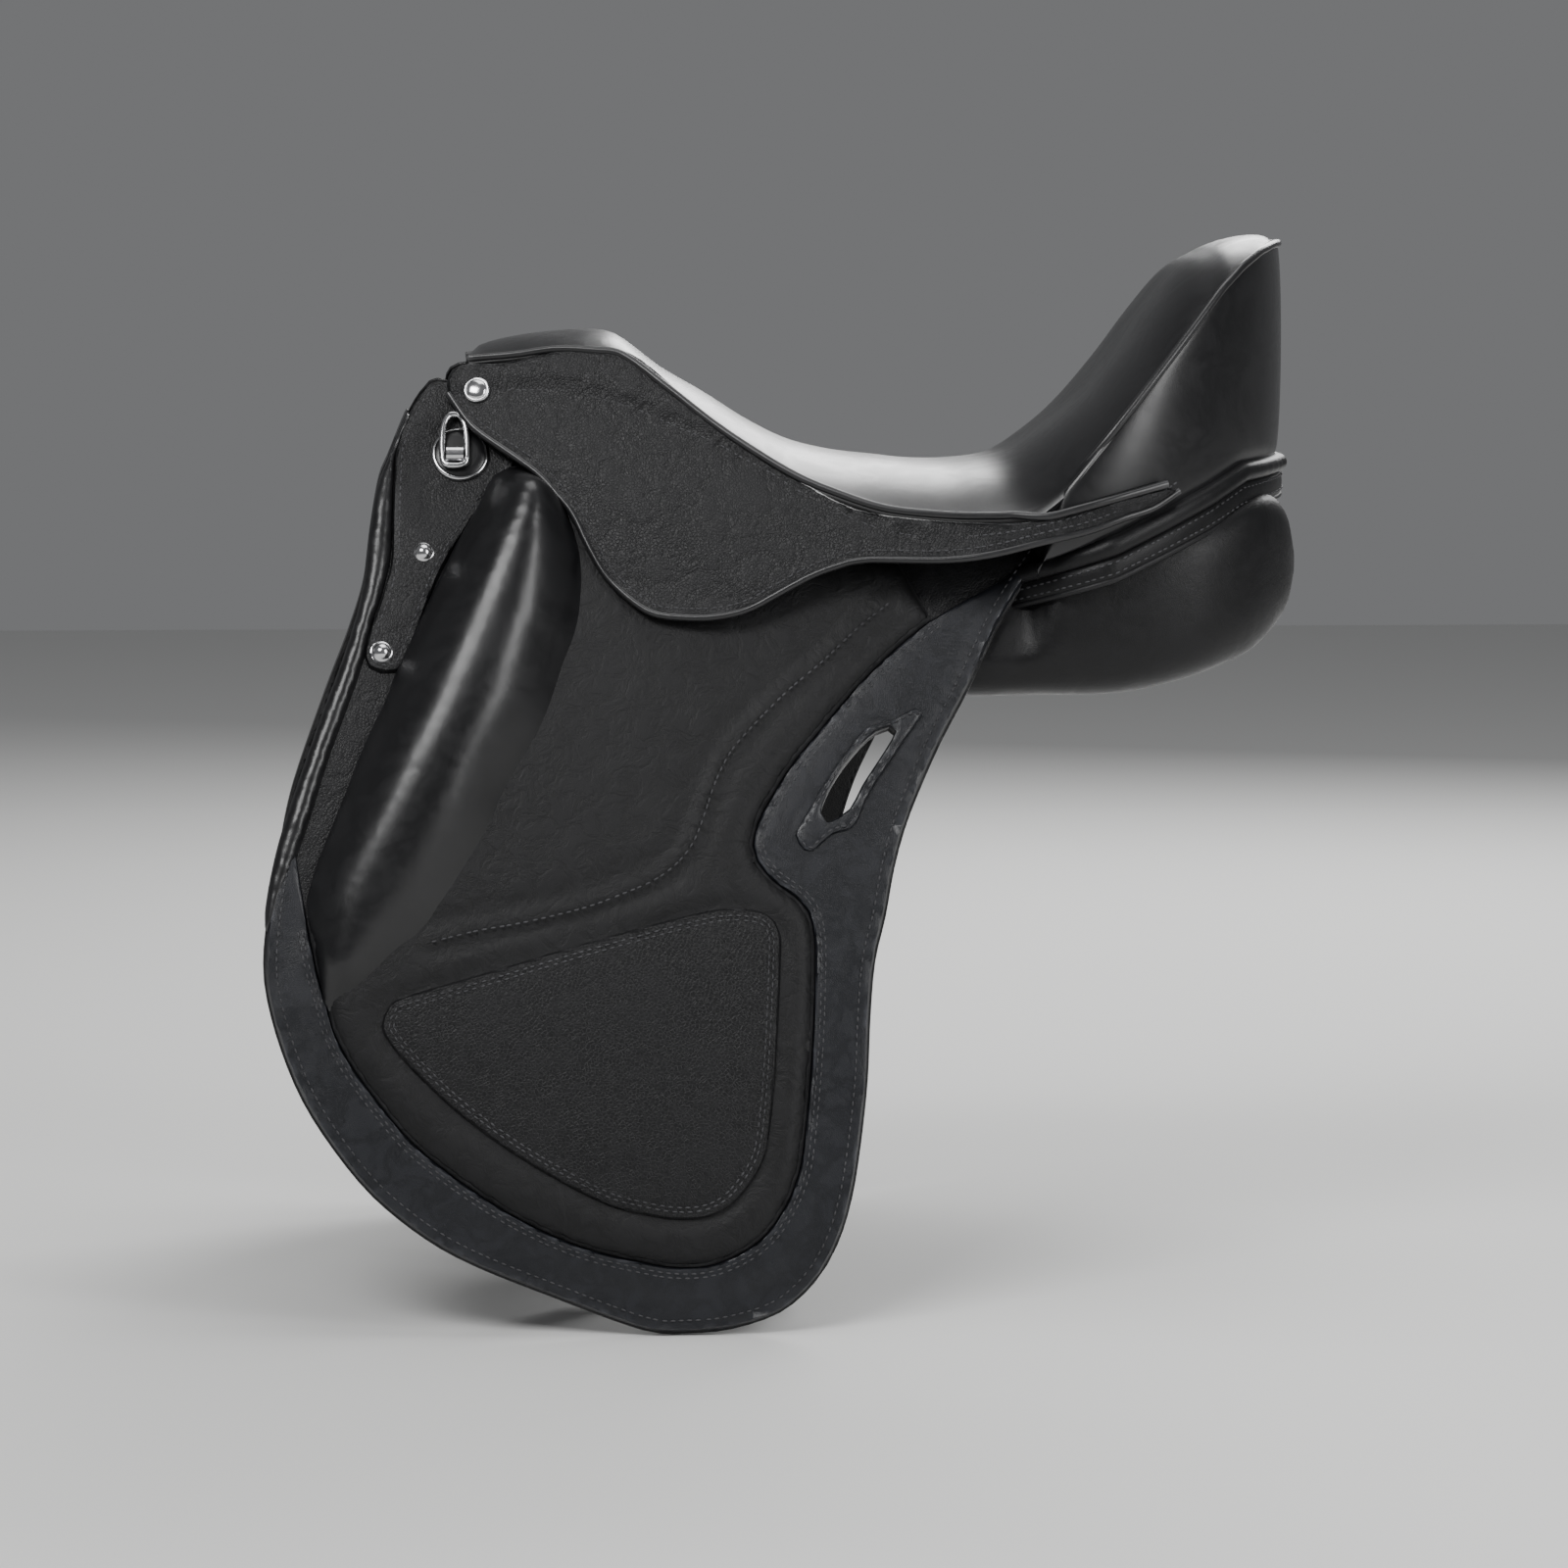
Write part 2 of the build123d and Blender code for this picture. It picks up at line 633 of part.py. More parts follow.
# ---------------------------------------------------------------- D-ring
ring_face = hang_plane(ring_x, ring_z, fit_gap)
barrel_lift = ring_plate_thick + barrel_radius - 0.6
barrel_axis = Plane(origin=ring_face.from_local_coords((-barrel_length / 2, 0, barrel_lift)),
                    x_dir=ring_face.y_dir, z_dir=ring_face.x_dir)

with BuildPart() as ring_plate:
    with BuildSketch(ring_face):
        Circle(ring_plate_radius)
    extrude(amount=ring_plate_thick)
hand_in_pair(ring_plate, "ring_plate")

with BuildPart() as ring_barrel:
    with BuildSketch(barrel_axis):
        Circle(barrel_radius)
        Circle(ring_wire + barrel_clearance, mode=Mode.SUBTRACT)
    extrude(amount=barrel_length)
    with BuildSketch(ring_face.offset(ring_plate_thick)):
        Rectangle(2 * x_reach, x_reach)
    extrude(amount=-x_reach, mode=Mode.SUBTRACT)
hand_in_pair(ring_barrel, "ring_barrel")

with BuildSketch(ring_face.offset(barrel_lift)) as ring_path:
    with Locations((0, ring_height / 2)):
        RectangleRounded(ring_width, ring_height, ring_bend)

with BuildPart() as d_ring:
    with BuildSketch(Plane(origin=ring_face.from_local_coords((0, 0, barrel_lift)),
                           x_dir=ring_face.y_dir, z_dir=ring_face.x_dir)):
        Circle(ring_wire)
    sweep(path=ring_path.sketch.faces()[0].outer_wire())
hand_in_pair(d_ring, "d_ring")
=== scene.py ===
import bpy
import bmesh
import math
from mathutils import Matrix, Vector, noise


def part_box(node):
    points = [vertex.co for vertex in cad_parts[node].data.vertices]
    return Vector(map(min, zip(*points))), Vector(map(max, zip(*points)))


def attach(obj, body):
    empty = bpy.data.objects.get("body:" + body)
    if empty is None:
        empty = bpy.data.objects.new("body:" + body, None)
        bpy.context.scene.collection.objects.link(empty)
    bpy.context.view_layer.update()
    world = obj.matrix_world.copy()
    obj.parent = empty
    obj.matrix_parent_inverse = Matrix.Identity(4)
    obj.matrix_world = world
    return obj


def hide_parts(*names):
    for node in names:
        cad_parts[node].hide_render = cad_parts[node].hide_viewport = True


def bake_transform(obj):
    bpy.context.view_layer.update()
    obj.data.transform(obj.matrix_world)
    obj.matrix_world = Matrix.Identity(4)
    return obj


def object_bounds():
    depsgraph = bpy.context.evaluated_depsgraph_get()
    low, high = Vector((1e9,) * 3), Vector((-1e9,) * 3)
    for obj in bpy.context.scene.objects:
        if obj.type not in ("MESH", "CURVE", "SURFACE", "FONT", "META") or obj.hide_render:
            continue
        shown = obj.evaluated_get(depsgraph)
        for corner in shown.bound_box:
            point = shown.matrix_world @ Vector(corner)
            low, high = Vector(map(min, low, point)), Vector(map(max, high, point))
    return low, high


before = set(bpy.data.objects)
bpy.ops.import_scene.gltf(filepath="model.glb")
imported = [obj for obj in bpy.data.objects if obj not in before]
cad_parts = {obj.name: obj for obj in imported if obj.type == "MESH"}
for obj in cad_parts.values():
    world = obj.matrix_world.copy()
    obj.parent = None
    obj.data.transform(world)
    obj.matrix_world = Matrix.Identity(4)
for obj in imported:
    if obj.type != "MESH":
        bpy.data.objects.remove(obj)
cad_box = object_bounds()
MM = 0.001
SIDES = ("left", "right")

# ------------------------------------------------------------------ camera, light and floor
# The saddle is seen from its near side, a little from the front and from above, with a long
# lens.  Broad soft lights stand on both sides and over it, and a pale floor lies under the flaps.
view_azimuth = math.radians(-4)
view_height = math.radians(5)
view_distance = 3.0
view_target = Vector((-0.073, 0.0, -0.086))
view_width = 0.864


def placed(name, data):
    piece = bpy.data.objects.new(name, data)
    bpy.context.scene.collection.objects.link(piece)
    return piece


back = Vector((math.sin(view_azimuth) * math.cos(view_height),
               -math.cos(view_azimuth) * math.cos(view_height), math.sin(view_height)))
camera = placed("camera", bpy.data.cameras.new("camera"))
camera.location = view_target + back * view_distance
camera.rotation_euler = back.to_track_quat("Z", "Y").to_euler()
camera.data.lens = camera.data.sensor_width * view_distance / view_width
bpy.context.scene.camera = camera


def soft_light(name, place, size, power):
    lamp = placed(name, bpy.data.lights.new(name, "AREA"))
    lamp.data.shape = "RECTANGLE"
    lamp.data.size, lamp.data.size_y = size
    lamp.data.energy = power
    lamp.location = place
    lamp.rotation_euler = (Vector(place) - view_target).to_track_quat("Z", "Y").to_euler()


soft_light("key", (-1.3, -2.0, 1.9), (1.4, 1.0), 62)
soft_light("fill", (1.7, -1.9, 0.9), (0.8, 1.6), 34)
soft_light("top", (0.1, 0.1, 2.3), (1.6, 1.6), 26)
soft_light("rear", (0.9, 2.2, 1.4), (1.6, 1.2), 60)

world = bpy.data.worlds.new("studio")
world.use_nodes = True
sky = world.node_tree.nodes["Background"]
sky.inputs["Color"].default_value = (0.86, 0.87, 0.89, 1)
sky.inputs["Strength"].default_value = 0.2
bpy.context.scene.world = world

floor_mesh = bmesh.new()
bmesh.ops.create_grid(floor_mesh, x_segments=1, y_segments=1, size=6.0)
floor_data = bpy.data.meshes.new("floor")
floor_mesh.to_mesh(floor_data)
floor = placed("floor", floor_data)
floor.location = (0, 0, cad_box[0][2] - 0.001)
floor_paint = bpy.data.materials.new("pale floor")
floor_paint.use_nodes = True
floor_shader = floor_paint.node_tree.nodes["Principled BSDF"]
floor_shader.inputs["Base Color"].default_value = (0.72, 0.72, 0.71, 1)
floor_shader.inputs["Roughness"].default_value = 0.8
floor_data.materials.append(floor_paint)


# ------------------------------------------------------------------ leather finishes
# Black hide, dyed and dressed.  Every leather shares a pebble grain, long creases (painted darker along their
# folds as painted shade) and paler, rubbed edges; calf is fine and soft, cowhide coarse, and bridle leather
# smooth.
def new_group(name, inputs, outputs):
    tree = bpy.data.node_groups.new(name, "ShaderNodeTree")
    for label, kind, value in inputs:
        socket = tree.interface.new_socket(label, in_out="INPUT", socket_type=kind)
        socket.default_value = value
    for label, kind in outputs:
        tree.interface.new_socket(label, in_out="OUTPUT", socket_type=kind)
    return tree, tree.nodes.new("NodeGroupInput"), tree.nodes.new("NodeGroupOutput")


def add_node(tree, kind, **values):
    node = tree.nodes.new(kind)
    for key, value in values.items():
        if key in node.inputs:
            node.inputs[key].default_value = value
        else:
            setattr(node, key, value)
    return node


def maths(tree, operation, a, b=None):
    node = tree.nodes.new("ShaderNodeMath")
    node.operation = operation
    for index, value in enumerate((a, b)):
        if value is None:
            continue
        if isinstance(value, (int, float)):
            node.inputs[index].default_value = value
        else:
            tree.links.new(value, node.inputs[index])
    return node.outputs[0]


def make_hide_group():
    tree, start, end = new_group(
        "hide grain",
        [("Grain Size", "NodeSocketFloat", 900.0), ("Grain Depth", "NodeSocketFloat", 0.5),
         ("Crease Size", "NodeSocketFloat", 40.0), ("Crease Depth", "NodeSocketFloat", 0.3)],
        [("Height", "NodeSocketFloat"), ("Tone And Crease Shade", "NodeSocketFloat"), ("Rub", "NodeSocketFloat")])
    place = tree.nodes.new("ShaderNodeTexCoord")
    cells = add_node(tree, "ShaderNodeTexVoronoi", feature="DISTANCE_TO_EDGE")
    tree.links.new(place.outputs["Object"], cells.inputs["Vector"])
    tree.links.new(start.outputs["Grain Size"], cells.inputs["Scale"])
    pebble = maths(tree, "MINIMUM", maths(tree, "MULTIPLY", cells.outputs["Distance"], 2.2), 0.5)
    folds = add_node(tree, "ShaderNodeTexNoise", Detail=5.0, Roughness=0.6, Distortion=0.6)
    tree.links.new(place.outputs["Object"], folds.inputs["Vector"])
    tree.links.new(start.outputs["Crease Size"], folds.inputs["Scale"])
    ridge = maths(tree, "ABSOLUTE", maths(tree, "SUBTRACT", folds.outputs["Fac"], 0.5))
    crease = maths(tree, "MINIMUM", maths(tree, "MULTIPLY", ridge, 9.0), 1.0)
    tree.links.new(
        maths(tree, "ADD", maths(tree, "MULTIPLY", pebble, start.outputs["Grain Depth"]),
              maths(tree, "MULTIPLY", crease, start.outputs["Crease Depth"])), end.inputs["Height"])
    patches = add_node(tree, "ShaderNodeTexNoise", Scale=14.0, Detail=3.0)
    tree.links.new(place.outputs["Object"], patches.inputs["Vector"])
    # Tone is random patches of tone plus painted shade: it is lower, and the colour darker, along the crease
    # lines.
    tree.links.new(maths(tree, "ADD", maths(tree, "MULTIPLY", patches.outputs["Fac"], 0.6),
                         maths(tree, "MULTIPLY", crease, 0.4)), end.inputs["Tone And Crease Shade"])
    form = tree.nodes.new("ShaderNodeNewGeometry")
    edge = add_node(tree, "ShaderNodeMapRange", **{"From Min": 0.53, "From Max": 0.62})
    tree.links.new(form.outputs["Pointiness"], edge.inputs["Value"])
    tree.links.new(maths(tree, "MULTIPLY", edge.outputs["Result"], patches.outputs["Fac"]), end.inputs["Rub"])
    return tree


hide_grain = make_hide_group()


def mix_colour(tree, mask, low, high):
    node = tree.nodes.new("ShaderNodeMix")
    node.data_type = "RGBA"
    tree.links.new(mask, node.inputs[0])
    for index, value in ((6, low), (7, high)):
        if isinstance(value, tuple):
            node.inputs[index].default_value = (*value, 1)
        else:
            tree.links.new(value, node.inputs[index])
    return node.outputs[2]


def new_paint(name, texture, *values):
    """A material, its node tree and shader, and a shared texture group set to some values."""
    paint = bpy.data.materials.new(name)
    paint.use_nodes = True
    tree = paint.node_tree
    group = tree.nodes.new("ShaderNodeGroup")
    group.node_tree = texture
    for socket, value in zip(group.inputs, values):
        socket.default_value = value
    return paint, tree, tree.nodes["Principled BSDF"], group


def dress(tree, shader, tone, low, high, height, bump, depth):
    """Vary a shader's roughness with a tone, and raise its surface by a height."""
    gloss = add_node(tree, "ShaderNodeMapRange", **{"To Min": low, "To Max": high})
    tree.links.new(tone, gloss.inputs["Value"])
    tree.links.new(gloss.outputs["Result"], shader.inputs["Roughness"])
    relief = add_node(tree, "ShaderNodeBump", Strength=bump, Distance=depth)
    tree.links.new(height, relief.inputs["Height"])
    tree.links.new(relief.outputs["Normal"], shader.inputs["Normal"])


def leather(name, dark, light, rough, grain, grain_depth, crease, crease_depth, bump=0.25, coat=0.0,
            shine=0.25):
    paint, tree, shader, hide = new_paint(name, hide_grain, grain, grain_depth, crease, crease_depth)
    # Body colour: random tone patches, darkened along the creases as painted shade.
    body = mix_colour(tree, hide.outputs["Tone And Crease Shade"], dark, light)
    rubbed = tuple(min(1.0, 3.0 * value + 0.03) for value in light)
    tree.links.new(mix_colour(tree, hide.outputs["Rub"], body, rubbed), shader.inputs["Base Color"])
    dress(tree, shader, hide.outputs["Tone And Crease Shade"], rough - 0.07, rough + 0.09, hide.outputs["Height"], bump,
          0.0006)
    shader.inputs["Specular IOR Level"].default_value = shine
    shader.inputs["Coat Weight"].default_value = coat
    shader.inputs["Coat Roughness"].default_value = 0.22
    return paint


seat_hide = leather("seat leather", (0.004, 0.004, 0.0045), (0.009, 0.009, 0.010), 0.33, 1500, 0.25, 30, 0.2,
                    0.18, 0.2, 0.4)
calf_hide = leather("soft calf", (0.006, 0.006, 0.0063), (0.012, 0.012, 0.013), 0.5, 1300, 0.3, 75, 0.8, 0.4)
cow_hide = leather("grained cowhide", (0.005, 0.005, 0.0055), (0.011, 0.011, 0.012), 0.42, 620, 0.8, 46,
                   0.9, 0.45)
border_hide = leather("border leather", (0.006, 0.0065, 0.008), (0.012, 0.013, 0.017), 0.36, 1100, 0.45,
                      60, 0.2, 0.3, 0.1, 0.4)
patch_hide = leather("grip leather", (0.005, 0.005, 0.0055), (0.011, 0.011, 0.012), 0.48, 520, 1.0, 50, 0.3,
                     0.6)
panel_hide = leather("panel leather", (0.005, 0.005, 0.0053), (0.010, 0.010, 0.011), 0.4, 1200, 0.35, 28,
                     0.5, 0.3)
bridle_hide = leather("bridle leather", (0.008, 0.007, 0.006), (0.016, 0.013, 0.011), 0.38, 1600, 0.2, 90,
                      0.4, 0.3)
thread = leather("waxed thread", (0.009, 0.009, 0.010), (0.022, 0.022, 0.024), 0.5, 2400, 0.6, 300, 0.3, 0.3)


# ------------------------------------------------------------------ the form that the flap hangs on
# The flaps hang round the horse's barrel on one long arc, and each skirt lies nearly flat over
# the top of its flap.  Patterns are drawn in side view, in millimetres, and laid on these forms.
hang_radius = 1300.0
hang_axis = (1077.0, -490.0)
flap_leather = 5.0
flap_bend = ((-292.0, 84.0), (56.0, 42.0))
skirt_lie = (165.0, 0.132, -0.447)
skirt_bend = ((-222.0, 99.5), (44.0, 50.5))
cantle_rear = 198.0
cantle_radius = 140.0
cantle_middle = cantle_rear - cantle_radius


def line_z(line, x):
    (x0, z0), (x1, z1) = line
    return z0 + (z1 - z0) * (x - x0) / (x1 - x0)


def on_flap(x, z, layer):
    """Point of the left flap's form at a side-view place, moved outwards by layer."""
    rise = (z - hang_axis[1]) / hang_radius
    out = math.sqrt(1 - rise * rise)
    reach = hang_radius + layer
    return Vector((x, -(out * reach - hang_axis[0]), rise * reach + hang_axis[1])) * MM


def cantle_half(x, grow=0.0):
    radius = cantle_radius + grow
    ahead = x - cantle_middle
    return radius if ahead < 0 else math.sqrt(max(0.0, radius ** 2 - ahead ** 2))


def on_skirt(x, z, layer):
    """Point of the left skirt's form; its low edge leans in to lie on the flap."""
    out = skirt_lie[0] + skirt_lie[1] * x + skirt_lie[2] * z
    below = max(0.0, line_z(skirt_bend, x) - z)
    out -= 6.0 * min(1.0, below / 60.0) ** 1.5
    hug = cantle_half(x, 2.0)
    if x > 20:
        share = min(1.0, (x - 20) / 45.0)
        out = out * (1 - share) + min(out, hug) * share
    return Vector((x, -(out + layer * 0.905), z + layer * 0.40)) * MM


def smooth_line(points, closed=True, step=5.0):
    """Rounded line through a few points, by Catmull-Rom curves, with even steps."""
    count = len(points)
    spans = count if closed else count - 1
    line = []
    for i in range(spans):
        if closed:
            p = [Vector(points[(i + k) % count]) for k in (-1, 0, 1, 2)]
        else:
            p = [Vector(points[min(max(i + k, 0), count - 1)]) for k in (-1, 0, 1, 2)]
        parts = max(1, round((p[2] - p[1]).length / step))
        for j in range(parts):
            t = j / parts
            line.append(0.5 * ((2 * p[1]) + (p[2] - p[0]) * t
                               + (2 * p[0] - 5 * p[1] + 4 * p[2] - p[3]) * t * t
                               + (3 * p[1] - p[0] - 3 * p[2] + p[3]) * t * t * t))
    if not closed:
        line.append(Vector(points[-1]))
    return line


def line_distance(place, line, closed=False):
    """Distance from a flat place to a line of points."""
    best = 1e9
    ends = line[1:] + line[:1] if closed else line[1:]
    for a, b in zip(line, ends):
        run = b - a
        size = run.length_squared
        t = 0.0 if size == 0 else max(0.0, min(1.0, (place - a).dot(run) / size))
        best = min(best, (place - a - run * t).length_squared)
    return math.sqrt(best)


def rounded(depth, radius):
    """Rise of a rolled edge, 0 at the cut and 1 from radius inwards."""
    share = min(1.0, max(0.0, depth / radius))
    return math.sqrt(1 - (1 - share) ** 2)


def bell(distance, width):
    return math.exp(-(distance / width) ** 2)


def object_from(mesh, name, *paints):
    data = bpy.data.meshes.new(name)
    bmesh.ops.recalc_face_normals(mesh, faces=mesh.faces)
    for face in mesh.faces:
        face.smooth = True
    for edge in mesh.edges:
        edge.smooth = edge.calc_face_angle(0.0) < 1.0
    mesh.to_mesh(data)
    mesh.free()
    for paint in paints:
        data.materials.append(paint)
    return placed(name, data)


def slice_mesh(mesh, spot, normal, near):
    bmesh.ops.bisect_plane(mesh, geom=mesh.verts[:] + mesh.edges[:] + mesh.faces[:], plane_co=spot,
                           plane_no=normal, dist=near)


def thickened(mesh):
    """Extrude every face as one sheet, and give the new sheet's corners."""
    made = bmesh.ops.extrude_face_region(mesh, geom=mesh.faces[:])
    return [g for g in made["geom"] if isinstance(g, bmesh.types.BMVert)]


def cut_pattern(outline, holes=(), rings=(0.8, 1.2, 2.0, 3.0), cell=7.0):
    """Flat leather pattern in side view: edge rings, then a grid of cuts across it."""
    mesh = bmesh.new()
    for loop in (outline, *holes):
        corners = [mesh.verts.new((p[0], 0, p[1])) for p in loop]
        for a, b in zip(corners, corners[1:] + corners[:1]):
            mesh.edges.new((a, b))
    bmesh.ops.triangle_fill(mesh, edges=mesh.edges[:], use_beauty=True, use_dissolve=False,
                            normal=(0, -1, 0))
    for step in rings:
        inner = [f for f in mesh.faces if not f.tag]
        made = bmesh.ops.inset_region(mesh, faces=inner, thickness=step, use_even_offset=False,
                                      use_boundary=True)
        for face in made["faces"]:
            face.tag = True
    low = [min(v.co[i] for v in mesh.verts) for i in (0, 2)]
    high = [max(v.co[i] for v in mesh.verts) for i in (0, 2)]
    for axis, normal in ((0, (1, 0, 0)), (1, (0, 0, 1))):
        count = int((high[axis] - low[axis]) / cell)
        for k in range(1, count + 1):
            place = low[axis] + k * (high[axis] - low[axis]) / (count + 1)
            spot = (place, 0, 0) if axis == 0 else (0, 0, place)
            slice_mesh(mesh, spot, normal, 0.02)
    return mesh


def lay_pattern(name, outline, form, top, under, paints, holes=(), rings=(0.8, 1.2, 2.0), cell=7.0, ease=1):
    """Closed leather piece: a pattern laid on a form between a flat underside and a shaped top."""
    mesh = cut_pattern(outline, holes, rings, cell)
    lines = [list(outline), *[list(h) for h in holes]]
    upper = set(thickened(mesh))
    for v in mesh.verts:
        place = Vector((v.co.x, v.co.z))
        if v in upper:
            depth = min(line_distance(place, line, True) for line in lines)
            v.co = form(place.x, place.y, top(place, depth))
        else:
            v.co = form(place.x, place.y, under)
    inner = [v for v in upper if all(e.other_vert(v) in upper for e in v.link_edges)]
    for _ in range(ease):
        bmesh.ops.smooth_vert(mesh, verts=inner, factor=0.5, use_axis_x=True, use_axis_y=True,
                              use_axis_z=True)
    return object_from(mesh, name, *paints)


def other_side(piece, name):
    """The mirror image of a left piece, for the right side of the saddle."""
    data = piece.data.copy()
    data.name = name
    twin = placed(name, data)
    mesh = bmesh.new()
    mesh.from_mesh(data)
    bmesh.ops.scale(mesh, vec=(1, -1, 1), verts=mesh.verts)
    bmesh.ops.reverse_faces(mesh, faces=mesh.faces)
    mesh.to_mesh(data)
    mesh.free()
    return twin


def fit_pair(piece, name, body, nodes=(), bend=None):
    """Name a left piece and its twin, and fix both to their bodies; given a bend, bake their places into
    their meshes instead.
    """
    piece.name = name + "_left"
    for side, part in zip(SIDES, (piece, other_side(piece, name + "_right"))):
        if bend:
            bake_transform(part)
        else:
            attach(part, body.format(side))
        if nodes:
            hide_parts(*[f"{node}_{side}" for node in nodes])


def fit_middle(piece, slot, *nodes, fill=None):
    """Fix a piece to the saddle's own body."""
    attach(piece, "saddle")
    if nodes:
        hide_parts(*nodes)


def piped(name, points, radius, paint, ring=False):
    """Round piping, welt or wire along points, closed at its ends or into a ring."""
    data = bpy.data.curves.new(name, "CURVE")
    data.dimensions = "3D"
    data.bevel_depth = radius * MM
    data.bevel_resolution = 3
    data.use_fill_caps = not ring
    spline = data.splines.new("NURBS")
    spline.points.add(len(points) - 1)
    for point, place in zip(spline.points, points):
        point.co = (*place, 1)
    spline.order_u = 3
    spline.use_endpoint_u = not ring
    spline.use_cyclic_u = ring
    data.resolution_u = 3
    line = placed(name + "_line", data)
    shape = bpy.data.meshes.new_from_object(line.evaluated_get(bpy.context.evaluated_depsgraph_get()))
    bpy.data.objects.remove(line)
    mesh = bmesh.new()
    mesh.from_mesh(shape)
    bmesh.ops.remove_doubles(mesh, verts=mesh.verts, dist=0.00001)
    return object_from(mesh, name, paint)


stitch_long = 3.2
stitch_thick = 0.55


def sewn(name, rows, pitch=4.4):
    """Rows of stitches; each row is a list of (place, outward) along the seam."""
    mesh = bmesh.new()
    for row in rows:
        travelled = pitch
        for (a, out_a), (b, _) in zip(row, row[1:]):
            run = (b - a).length / MM
            travelled += run
            if travelled < pitch or run < 0.01:
                continue
            travelled -= pitch
            along = (b - a).normalized()
            across = along.cross(out_a).normalized()
            turn = Matrix((along, across, out_a.normalized())).transposed().to_4x4()
            size = Matrix.Diagonal((stitch_long * MM / 2, stitch_thick * MM, stitch_thick * MM, 1))
            bmesh.ops.create_icosphere(mesh, subdivisions=1, radius=1.0,
                                       matrix=Matrix.Translation(a) @ turn @ size)
    return object_from(mesh, name, thread)


def seam_row(line, form, layer, step=1.1):
    """Places and outward directions along a flat line laid on a form at a height."""
    row = []
    fine = smooth_line(line, closed=False, step=step)
    for p in fine:
        high = layer(p) if callable(layer) else layer
        low = form(p.x, p.y, high)
        row.append((low, (form(p.x, p.y, high + 2) - low).normalized()))
    return row


def inset_line(line, depth, closed=False):
    """A flat line moved to its left side by depth."""
    count = len(line)
    moved = []
    for i, p in enumerate(line):
        before = line[(i - 1) % count] if closed or i > 0 else p
        after = line[(i + 1) % count] if closed or i < count - 1 else p
        run = (after - before).normalized()
        moved.append(p + Vector((-run.y, run.x)) * depth)
    return moved


def bend_points(line, form, x, reach):
    """Two places square across a bend line, reach above it and reach below it."""
    (x0, z0), (x1, z1) = line
    across = Vector((z0 - z1, x1 - x0)).normalized() * reach
    z = line_z(line, x)
    return form(x + across.x, z + across.y, 0), form(x - across.x, z - across.y, 0)


flap_hinge = bend_points(flap_bend, on_flap, -120, 9)
skirt_hinge = bend_points(skirt_bend, on_skirt, -90, 8)


def fit_flap(piece, name, nodes=(), bend=flap_hinge):
    fit_pair(piece, name, "flap_{}_lift", nodes, bend)


# ------------------------------------------------------------------ seat
# Smooth black hide is drawn tight over foam on the tree, crowned at the pommel, deep at the
# waist and rising to the cantle.  It is blocked wet to shape and sewn to the skirts at its rim.
seat_stations = (
    # forward place, edge height, crown height, half width
    (-246, 146, 154, 69), (-222, 148, 160, 71.5), (-200, 151, 163, 73), (-178, 150, 164, 76.5),
    (-165, 148, 161, 79), (-142, 131, 144, 90), (-118, 112, 130, 101), (-96, 97, 116, 111),
    (-74, 84, 105, 120), (-52, 75, 99, 127), (-30, 68, 96, 133), (-5, 65, 94, 137),
    (20, 64, 95, 139), (44, 66, 100, 140), (64, 79, 113, 140), (84, 102, 130, 138),
    (106, 128, 156, 131), (124, 150, 181, 123), (140, 169, 200, 113), (156, 189, 209, 99),
    (166, 198, 213, 88), (174, 204, 215, 76), (181, 208, 216, 62), (188, 211, 215, 42),
    (194, 211, 212, 14))
seat_squareness = 2.8


def section_at(rows, place):
    """Sizes at a place along a piece, on smooth curves through rows of (place, size, size, ...)."""
    for i in range(len(rows) - 1):
        if place <= rows[i + 1][0]:
            break
    share = (place - rows[i][0]) / (rows[i + 1][0] - rows[i][0])
    four = [rows[max(0, i - 1)], rows[i], rows[i + 1], rows[min(len(rows) - 1, i + 2)]]
    span = four[2][0] - four[1][0]
    values = []
    for k in range(1, len(rows[0])):
        a, b, c, d = (row[k] for row in four)
        slope_b = (c - a) / (four[2][0] - four[0][0]) * span
        slope_c = (d - b) / (four[3][0] - four[1][0]) * span
        s2, s3 = share ** 2, share ** 3
        values.append(b * (2 * s3 - 3 * s2 + 1) + slope_b * (s3 - 2 * s2 + share) + c * (3 * s2 - 2 * s3)
                      + slope_c * (s3 - s2))
    return values


def make_seat():
    across, along = 72, 150
    mesh = bmesh.new()
    bmesh.ops.create_grid(mesh, x_segments=along, y_segments=across, size=1.0)
    first, last = seat_stations[0][0], seat_stations[-1][0]
    for v in mesh.verts:
        place = first + (last - first) * math.sin((v.co.x + 1) / 2 * math.pi / 2) ** 0.92
        edge, crown, half = section_at(seat_stations, place)
        side = math.sin(v.co.y * math.pi / 2)
        share = 1 - abs(side) ** seat_squareness
        z = edge + (crown - edge) * share
        dish = max(0.0, 1 - abs(place - 90) / 110.0)
        z -= 5.0 * dish * bell(side, 0.5)
        tuck = max(0.0, abs(side) - 0.97) / 0.03
        front = max(0.0, (first + 10 - place) / 10.0)
        v.co = Vector((place, side * half, z - 3.0 * tuck ** 2 - 5.0 * front ** 2 * share)) * MM
    bmesh.ops.remove_doubles(mesh, verts=mesh.verts, dist=0.0002)
    for v in thickened(mesh):
        v.co.z -= 0.008
        v.co.y *= 0.965
        v.co.x = 0.05 + (v.co.x - 0.05) * 0.985
    return object_from(mesh, "seat", seat_hide)


fit_middle(make_seat(), "seat_leather", "seat_cover", "seat_foam", fill=0.9)

# ------------------------------------------------------------------ seat welts
# A thin cord wrapped in hide is caught in the seam all round the seat.  Down each side it
# stands proud between seat and skirt, and round the back it runs under the cantle's rim.
welt_radius = 2.2
welt_tail = ((54, 64), (66, 67), (85, 72), (104, 77), (120, 81))


